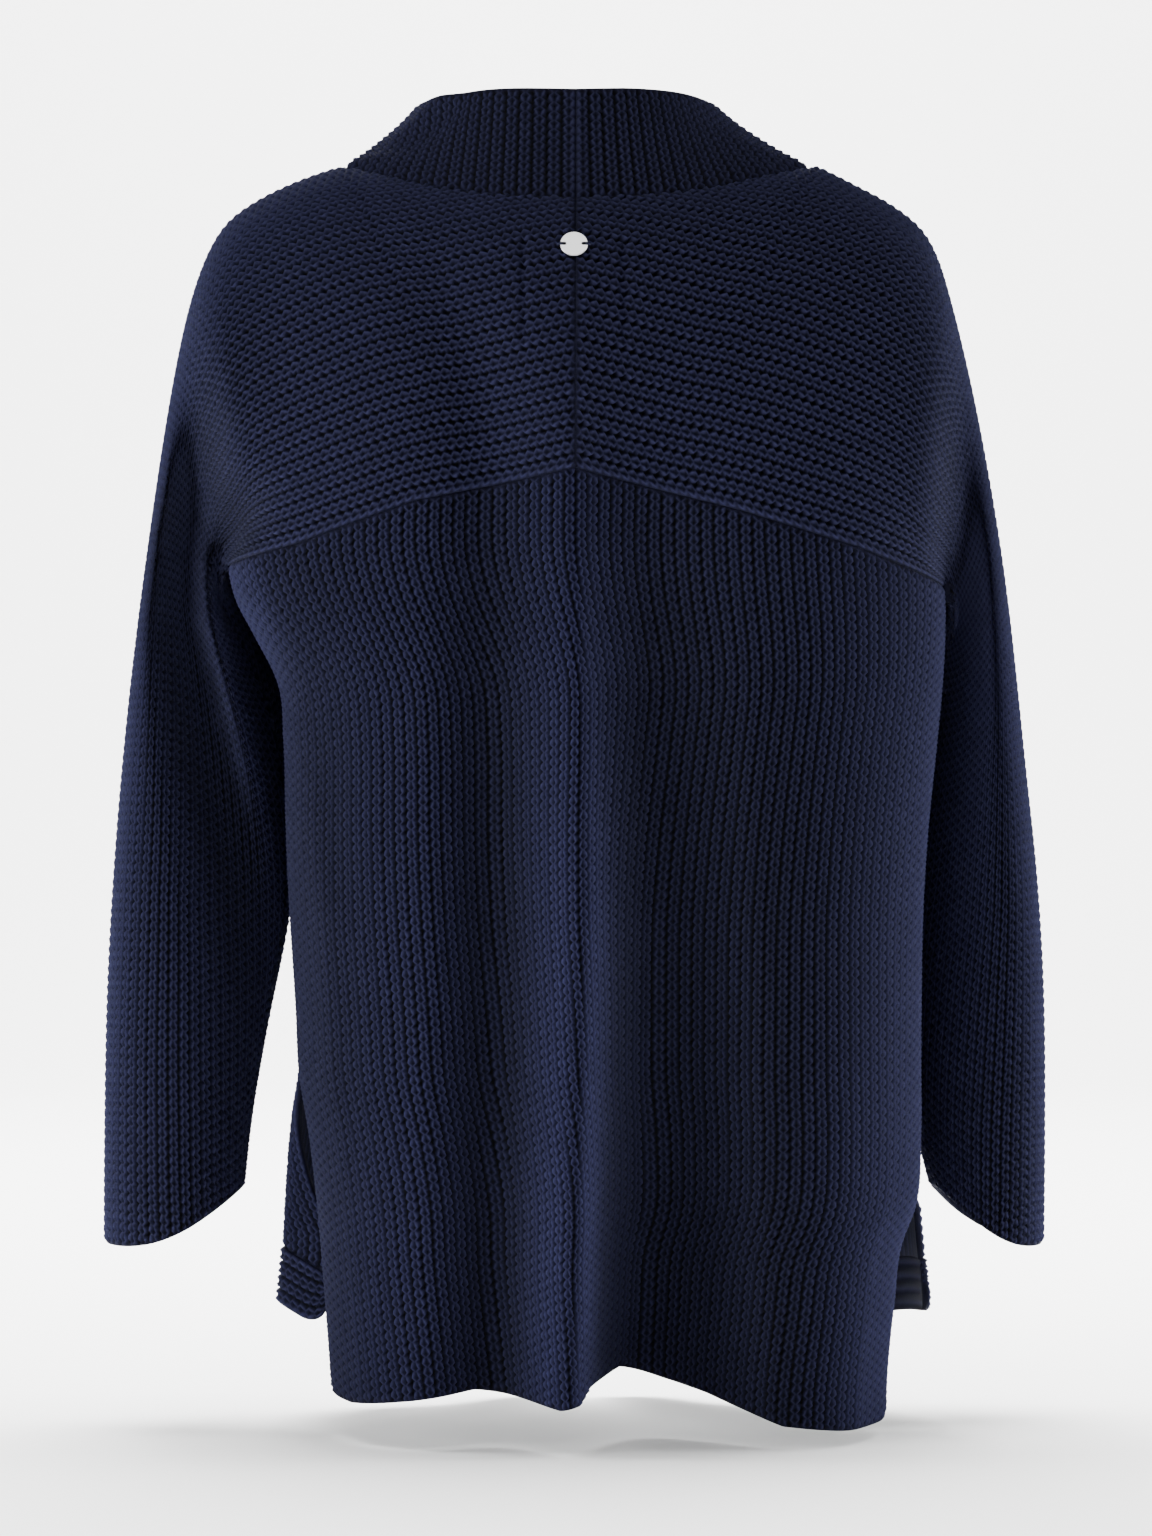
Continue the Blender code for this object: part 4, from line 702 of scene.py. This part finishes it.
def panel_piece(name, first, last, limits, read, per_rib=2, shade=None):
    """A knitted panel with its inner face, which has per_rib columns in each rib, and its edges.

    limits(rib) gives the first and last course of a rib, and read(rib, course) gives points and normals.
    """
    cloth = Cloth()
    lattice = rib_lattice(first, last)
    start, end = limits(lattice[0])
    table, course, firsts, lasts = knit(cloth, lattice, start, end, lambda column, rib, c: read(rib, c))
    at = spread(first, last, (last - first) * per_rib)
    low, high = limits(at)
    rows = spread(0, 1, (high - low).max() * COURSE / LINING_STEP)
    c = low[:, None] + (high - low)[:, None] * rows
    rib = np.broadcast_to(at[:, None], c.shape).ravel()
    points, normals = read(rib, c.ravel())
    inner = cloth.add(points - normals * inner_depth(rib),
                      LINING_HEIGHT - LINING_SWING * np.cos(2 * np.pi * rib)).reshape(c.shape)
    cloth.skin(inner)
    cloth.zip(firsts, lattice[0], inner[:, 0], at)
    cloth.zip(lasts, lattice[0], inner[:, -1], at)
    for i in (0, -1):
        line, where = in_order(table[i])
        share = np.clip((course[i][where] - start[i]) / (end[i] - start[i]), 0, 1)
        cloth.zip(line, share, inner[i], rows)
    return cloth.finish(name, shade)


def station_numbers(front, u):
    """Ribs that the neckline cuts off and the last rib, at station u."""
    at = np.arange(len(STATIONS))
    return np.interp(u, at, [s[8][front] for s in STATIONS]), np.interp(u, at, [s[9] for s in STATIONS])


def yoke_sleeve(name, side, arms):
    """Back yoke, sleeve and front yoke, knitted as one piece and closed under the arm."""
    cloth = Cloth()
    last_station = len(STATIONS) - 1
    lattice = rib_lattice(0.0, YOKE_RIBS)
    at = lattice[0]
    u = np.linspace(0, last_station, last_station * READ_STEPS + 1)
    stations = np.arange(last_station * LINING_STEPS + 1) / LINING_STEPS
    share = np.linspace(0, 1, LINING_POINTS)
    lasts = np.array([s[9] for s in STATIONS[CORNER:]])
    u_end = np.interp(-at, -lasts, np.arange(CORNER, last_station + 1), right=last_station)
    blend_edges(arms)
    for front, arm in enumerate(arms):
        edge_x = side * (FRONT_EDGE if front else 0.0)
        cuts = np.array([s[8][front] for s in STATIONS[:SHOULDER + 1]])
        u_start = np.interp(-at, -cuts, np.arange(SHOULDER + 1), left=0.0)
        cut, last = station_numbers(front, u)
        v = np.clip((at[:, None] - cut) / (last - cut), 0, 1)
        length = lengths(arm.read(np.broadcast_to(u, v.shape), v)[0])
        length -= length[:, [int(np.argmin(np.abs(u - REFERENCE)))]]
        courses = length / SLEEVE_COURSE

        def read(column, rib, course):
            where = np.empty(len(rib))
            for i in np.unique(column):
                here = column == i
                where[here] = np.interp(course[here], courses[i], u)
            cut, last = station_numbers(front, where)
            points, normals = arm.read(where, np.clip((rib - cut) / (last - cut), 0, 1))
            if not front:
                points = points - normals * stitch_lines(points)[:, None]
            points[where < AT_CENTRE, 0] = edge_x
            return points, normals

        start, end = (np.array([np.interp(a, u, c) for a, c in zip(edge, courses)])
                      for edge in (u_start, u_end))
        table, course, firsts, ends = knit(cloth, lattice, start, end, read, yoke=True)

        points, normals = arm.read(stations[:, None], share)
        cut, last = station_numbers(front, stations)
        rib = cut[:, None] + (last - cut)[:, None] * share
        points = points - normals * inner_depth(rib)
        points[0, :, 0] = edge_x
        inner = cloth.add(points.reshape(-1, 3), SLEEVE_LINING_HEIGHT).reshape(rib.shape)
        cloth.skin(inner)

        neck = int(np.argmax(at > cuts[0]))
        to_shoulder, to_corner = SHOULDER * LINING_STEPS + 1, CORNER * LINING_STEPS + 1
        cloth.zip(firsts[neck::-1], np.concatenate([[0.0], u_start[:neck][::-1]]),
                  inner[:to_shoulder, 0], stations[:to_shoulder])
        cloth.zip(firsts[neck:], (at[neck:] - at[neck]) / (YOKE_RIBS - at[neck]), inner[0], share)
        whole = at <= lasts[-1]
        cloth.zip(ends[whole], at[whole] / lasts[-1], inner[-1], share)
        line, where = in_order(table[-1])
        along = np.interp(course[-1][where], courses[-1], u)
        along[0], along[-1] = 0.0, CORNER
        cloth.zip(line, along, inner[:to_corner, -1], stations[:to_corner])
    return cloth.finish(name, shade_of_sleeve(side), weld=WELD)


def stitch_lines(points):
    """How deep the upright lines of stitches pull the yoke in."""
    depth = np.zeros(len(points))
    for x, top, foot in STITCH_LINES:
        inside = (points[:, 2] < top) & (points[:, 2] > foot)
        depth += inside * STITCH_LINE_DEPTH * np.exp(-((points[:, 0] - x) / STITCH_LINE_WIDTH) ** 2)
    return depth


def creased(side, rib, up):
    """How far the collar's creases lift its cloth."""
    lift = np.zeros(len(rib))
    for owner, rib0, up0, rib1, up1, width, height in COLLAR_CREASES:
        if owner == side:
            t = (up - up0) / (up1 - up0)
            fade = np.clip(CREASE_HOLD - np.abs(t - 0.5) * CREASE_FADE, 0, 1)
            fade *= np.clip(up / CREASE_FOOT, 0, 1)
            lift += height * fade * np.exp(-((rib - rib0 - (rib1 - rib0) * t) / width) ** 2)
    return lift


# -------- assembly

SEAM_STEPS = 721  # places across a panel at which its seam and hem are measured


def knitted_pieces():
    """Every knitted piece, by the CAD node that it stands for."""
    back = body_grid(BACK, BACK_FOLDS + BACK_CREASES, 1, (None, None))
    fronts = {1: body_grid(FRONT, FRONT_FOLDS, -1, (None, FRONT_EDGE)),
              -1: body_grid(FRONT, FRONT_FOLDS, -1, (-FRONT_EDGE, None))}
    shares = np.linspace(0, 1, SEAM_STEPS)
    seam_z = line_height(back, shares, BACK_YOKE_SEAM)
    centre = float(np.interp(0.0, -back.read(-seam_z, shares)[0][:, 0], shares))
    made = {}

    def panel(node, ribs, limits, read, first=0.0, **options):
        made[node] = panel_piece("knit_" + node, first, first + ribs, limits, read, **options)

    def seam(grid, line, start, end):
        """Points of a yoke seam, from one share of the panel's width to another."""
        def read(s):
            share = start + (end - start) * s
            return grid.read(-line_height(grid, share, line), share)[0]
        return read

    def body_panel(node, grid, ribs, top, foot, first=0.0, shade=None):
        """A panel of upright ribs between two lines, given by their heights at the shares."""
        def limits(rib):
            return (-np.interp((rib - first) / ribs, shares, z) / COURSE for z in (top, foot))

        def read(rib, course):
            return grid.read(course * COURSE, (rib - first) / ribs)
        panel(node, ribs, limits, read, first, shade=shade)

    def even(count):
        """Limits of a panel with the same number of courses in every rib."""
        return lambda rib: (np.zeros_like(rib), np.full_like(rib, count))

    for side, word in ((1, "left"), (-1, "right")):
        grid, outer = fronts[side], 0 if side > 0 else 1
        seams = seam(back, BACK_YOKE_SEAM, centre, outer), seam(grid, FRONT_YOKE_SEAM, 1 - outer, outer)
        arms = [softened(arm_grid(side, front, read), side, front) for front, read in enumerate(seams)]
        made["yoke_sleeve_" + word] = yoke_sleeve("knit_yoke_sleeve_" + word, side, arms)
        collar = collar_grid(side)

        def collar_read(rib, course):
            points, normals = collar.read(rib / COLLAR_RIBS, course / COLLAR_COURSES)
            points = points + normals * creased(side, rib, course / COLLAR_COURSES)[:, None]
            points[:, 2] -= COLLAR_TUCK * np.clip(1 - course / TUCK_COURSES, 0, 1)
            points[rib < AT_CENTRE, 0] = 0.0
            return points, normals
        # The collar gets an even painted shade all over.
        panel("collar_" + word, COLLAR_RIBS, even(COLLAR_COURSES), collar_read,
              shade=lambda points: np.full(len(points), COLLAR_PAINTED_SHADE))
        z_hem = line_height(grid, shares, FRONT_HEM)
        z_band = z_hem + BAND_HEIGHT
        z_hem = rounded(z_hem, grid, shares, (outer,))
        body_panel("front_" + word, grid, FRONT_RIBS, line_height(grid, shares, FRONT_YOKE_SEAM), z_band)
        count = steps_of(grid.read(-z_band, shares)[0]).sum() / COURSE

        def band_read(rib, course):
            share = np.clip(course / count, 0, 1)
            top, foot = np.interp(share, shares, z_band), np.interp(share, shares, z_hem)
            points, normals = grid.read(-(top + (foot - top) * rib / BAND_RIBS), share)
            return points + normals * BAND_STEP, normals
        panel("front_hem_band_" + word, BAND_RIBS, even(count), band_read, per_rib=COLUMNS)

    z_hem = rounded(line_height(back, shares, BACK_HEM), back, shares, (0, 1))
    body_panel("back_body", back, BACK_RIBS, seam_z, z_hem, -centre * BACK_RIBS, shade_of_body)
    return made


# -------- materials

# Colour of the yarn by stitch height: its navy on the crests, darkened down into the grooves as painted
# shade.
YARN_GROOVE_SHADE = (0.0006, 0.0006, 0.0022, 1)
YARN_HALF_SHADE = (0.0050, 0.0053, 0.0200, 1)
YARN_CREST = (0.0270, 0.0285, 0.0820, 1)
STITCH_SHADE_HEIGHTS = (-0.0032, 0.0007)  # stitch heights of the darkest painted shade and of the crest colour
PAINTED_FOLD_SHADES = (0.56, 1.22)  # painted shade in the folds' troughs and painted light on their ridges
SHEEN_TINT = (0.55, 0.62, 1.0, 1)
SILVER = (0.82, 0.82, 0.83, 1)
THREAD, THREAD_TONES = (0.01, 0.013, 0.045), (0.6, 1.3)
PAPER = (0.86, 0.86, 0.86, 1)


def fill(node, **values):
    """Sets inputs of a shader node, whose names have _ for each space here."""
    for name, value in values.items():
        node.inputs[name.replace("_", " ")].default_value = value
    return node


def material(name, **values):
    """A new material, its tree of nodes, and its shader with some inputs set."""
    made = bpy.data.materials.new(name)
    made.use_nodes = True
    return made, made.node_tree, fill(made.node_tree.nodes["Principled BSDF"], **values)


def add(tree, kind, attribute=None, **values):
    """A new shader node with some inputs set; an Attribute node reads the attribute."""
    made = fill(tree.nodes.new("ShaderNode" + kind), **values)
    if attribute:
        made.attribute_name = attribute
    return made


def link(tree, *links):
    """Links sockets: a node, its output, the next node and its input."""
    for a, out, b, into in links:
        tree.links.new(a.outputs[out], b.inputs[into])


def cotton(name):
    """Navy cotton yarn, a little uneven, with a fine fibre, painted shade between the stitches and in the
    folds' troughs, and painted light on their ridges.
    """
    made, tree, shader = material(name, Roughness=0.85, Specular_IOR_Level=0.14, Sheen_Weight=0.03,
                                  Sheen_Roughness=0.5, Sheen_Tint=SHEEN_TINT)
    # Painted shade and light: the stitch height darkens the grooves, and the folds' attribute darkens
    # troughs and lightens ridges.
    height, painted_fold_shade = add(tree, "Attribute", "height"), add(tree, "Attribute", "painted_fold_shade")
    lit = add(tree, "MapRange", From_Min=STITCH_SHADE_HEIGHTS[0], From_Max=STITCH_SHADE_HEIGHTS[1])
    ramp = add(tree, "ValToRGB")
    ramp.color_ramp.elements[0].color = YARN_GROOVE_SHADE
    ramp.color_ramp.elements[1].color = YARN_CREST
    ramp.color_ramp.elements.new(0.5).color = YARN_HALF_SHADE
    place = add(tree, "TexCoord")
    uneven = add(tree, "TexNoise", Scale=160.0, Detail=3.0)
    value = add(tree, "MapRange", To_Min=0.72, To_Max=1.3)
    painted_fold_shading = add(tree, "MapRange", From_Min=-1.0, To_Min=PAINTED_FOLD_SHADES[0], To_Max=PAINTED_FOLD_SHADES[1])
    # both multiplies the random unevenness by the folds' painted shade and light, and tone sets the colour's
    # value from it.
    both, tone = add(tree, "Math"), add(tree, "HueSaturation")
    both.operation = "MULTIPLY"
    fibre = add(tree, "TexNoise", Scale=1100.0, Detail=2.0)
    bump = add(tree, "Bump", Strength=0.5, Distance=0.0006)
    link(tree, (height, "Fac", lit, "Value"), (lit, "Result", ramp, "Fac"), (ramp, "Color", tone, "Color"),
         (place, "Object", uneven, "Vector"), (uneven, "Fac", value, "Value"), (value, "Result", both, 0),
         (painted_fold_shade, "Fac", painted_fold_shading, "Value"), (painted_fold_shading, "Result", both, 1), (both, "Value", tone, "Value"),
         (tone, "Color", shader, "Base Color"), (place, "Object", fibre, "Vector"),
         (fibre, "Fac", bump, "Height"), (bump, "Normal", shader, "Normal"))
    return made


def silver(name):
    """Brushed silver-coloured metal."""
    made, tree, shader = material(name, Metallic=1.0, Base_Color=SILVER)
    place = add(tree, "TexCoord")
    stretch = add(tree, "Mapping", Scale=(300.0, 300.0, 6000.0))
    brushed = add(tree, "TexNoise", Scale=1.0)
    rough = add(tree, "MapRange", To_Min=0.34, To_Max=0.55)
    link(tree, (place, "Object", stretch, "Vector"), (stretch, "Vector", brushed, "Vector"),
         (brushed, "Fac", rough, "Value"), (rough, "Result", shader, "Roughness"))
    return made


def thread(name):
    """Sewing thread: one colour with a fine uneven twist."""
    made, tree, shader = material(name, Roughness=0.9)
    noise, ramp = add(tree, "TexNoise", Scale=2500.0), add(tree, "ValToRGB")
    for element, tone in zip(ramp.color_ramp.elements, THREAD_TONES):
        element.color = tuple(tone * c for c in THREAD) + (1,)
    link(tree, (noise, "Fac", ramp, "Fac"), (ramp, "Color", shader, "Base Color"))
    return made


# -------- stage

FLOOR_Z = -0.757
STAGE_HALF = 7.0  # half of the backdrop's width, and how far its floor reaches to the camera's side
SWEEP_Y, SWEEP = -3.2, 1.4  # where the floor starts to sweep up, and the sweep's radius
STAGE_TOP = 5.0
CAMERA_DISTANCE, CAMERA_HEIGHT = 3.0, -0.3618
PIXEL = 0.0006  # metres in the plane y = 0 for each pixel of the photograph
PHOTO_HEIGHT = 1536
SKY = (0.95, 0.97, 1.0, 1)
SKY_LIGHT, SKY_SEEN = 0.10, 0.85  # the sky's strength as a light, and as the camera sees it

# Square soft lights: place, what each points at, side (m) and power (W).  The backdrop's lights it alone.
LIGHTS = {
    "left": ((2.6, 1.5, 0.2), (0, 0, -0.45), 1.0, 59),
    "right": ((-3.0, 0.2, 0.2), (0, 0, -0.45), 1.0, 42),
    "top": ((0.3, 1.2, 2.1), (0, 0, -0.2), 1.2, 24),
    "backdrop": ((0.0, -1.2, 2.6), (0, -3.6, -0.4), 3.2, 1080),
    "front": ((0.8, -2.6, 1.6), (0, 0, -0.4), 1.4, 70),
}


def backdrop():
    """Plain pale floor that sweeps up behind the garment."""
    profile = [(STAGE_HALF, 0.0), (SWEEP_Y, 0.0)]
    for turn in np.radians(np.arange(6, 91, 6)):
        profile.append((SWEEP_Y - SWEEP * np.sin(turn), SWEEP - SWEEP * np.cos(turn)))
    profile.append((SWEEP_Y - SWEEP, STAGE_TOP))
    points = [(x, y, FLOOR_Z + z) for x in (-STAGE_HALF, STAGE_HALF) for y, z in profile]
    count = len(profile)
    mesh = bpy.data.meshes.new("backdrop")
    mesh.from_pydata(points, [], [(i, i + 1, count + i + 1, count + i) for i in range(count - 1)])
    mesh.shade_smooth()
    made = in_scene("backdrop", mesh)
    paper = material("pale_paper", Base_Color=PAPER, Roughness=0.95, Specular_IOR_Level=0.1)[0]
    mesh.materials.append(paper)
    return made


def light_and_camera(paper):
    world = bpy.data.worlds.new("studio")
    bpy.context.scene.world = world
    world.use_nodes = True
    tree = world.node_tree
    sky = fill(tree.nodes["Background"], Color=SKY)
    seen, strength = add(tree, "LightPath"), add(tree, "MapRange", To_Min=SKY_LIGHT, To_Max=SKY_SEEN)
    link(tree, (seen, "Is Camera Ray", strength, "Value"), (strength, "Result", sky, "Strength"))
    for name, (place, aim, size, power) in LIGHTS.items():
        data = bpy.data.lights.new(name, "AREA")
        data.shape, data.size, data.energy = "SQUARE", size, power
        light = in_scene(name, data)
        light.location = place
        light.rotation_euler = Vector(np.subtract(aim, place)).to_track_quat("-Z", "Y").to_euler()
        if name == "backdrop":
            light.light_linking.receiver_collection = bpy.data.collections.new("lit_by_" + name)
            light.light_linking.receiver_collection.objects.link(paper)
    data = bpy.data.cameras.new("camera")
    data.sensor_fit = "VERTICAL"
    data.angle = 2 * np.arctan(PHOTO_HEIGHT * PIXEL / 2 / CAMERA_DISTANCE)
    camera = in_scene("camera", data)
    camera.location = (0.0, CAMERA_DISTANCE, CAMERA_HEIGHT)
    camera.rotation_euler = (np.pi / 2, 0.0, np.pi)
    bpy.context.scene.camera = camera


yarn = cotton("navy_cotton")
for node, piece in knitted_pieces().items():
    piece.data.materials.append(yarn)
    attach(piece, "root")
    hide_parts(node)
for node, made in (("neck_disc", silver("matt_silver")), ("disc_thread_left", thread("thread_left")),
                   ("disc_thread_right", thread("thread_right"))):
    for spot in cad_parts[node].material_slots:
        spot.material = made
light_and_camera(backdrop())
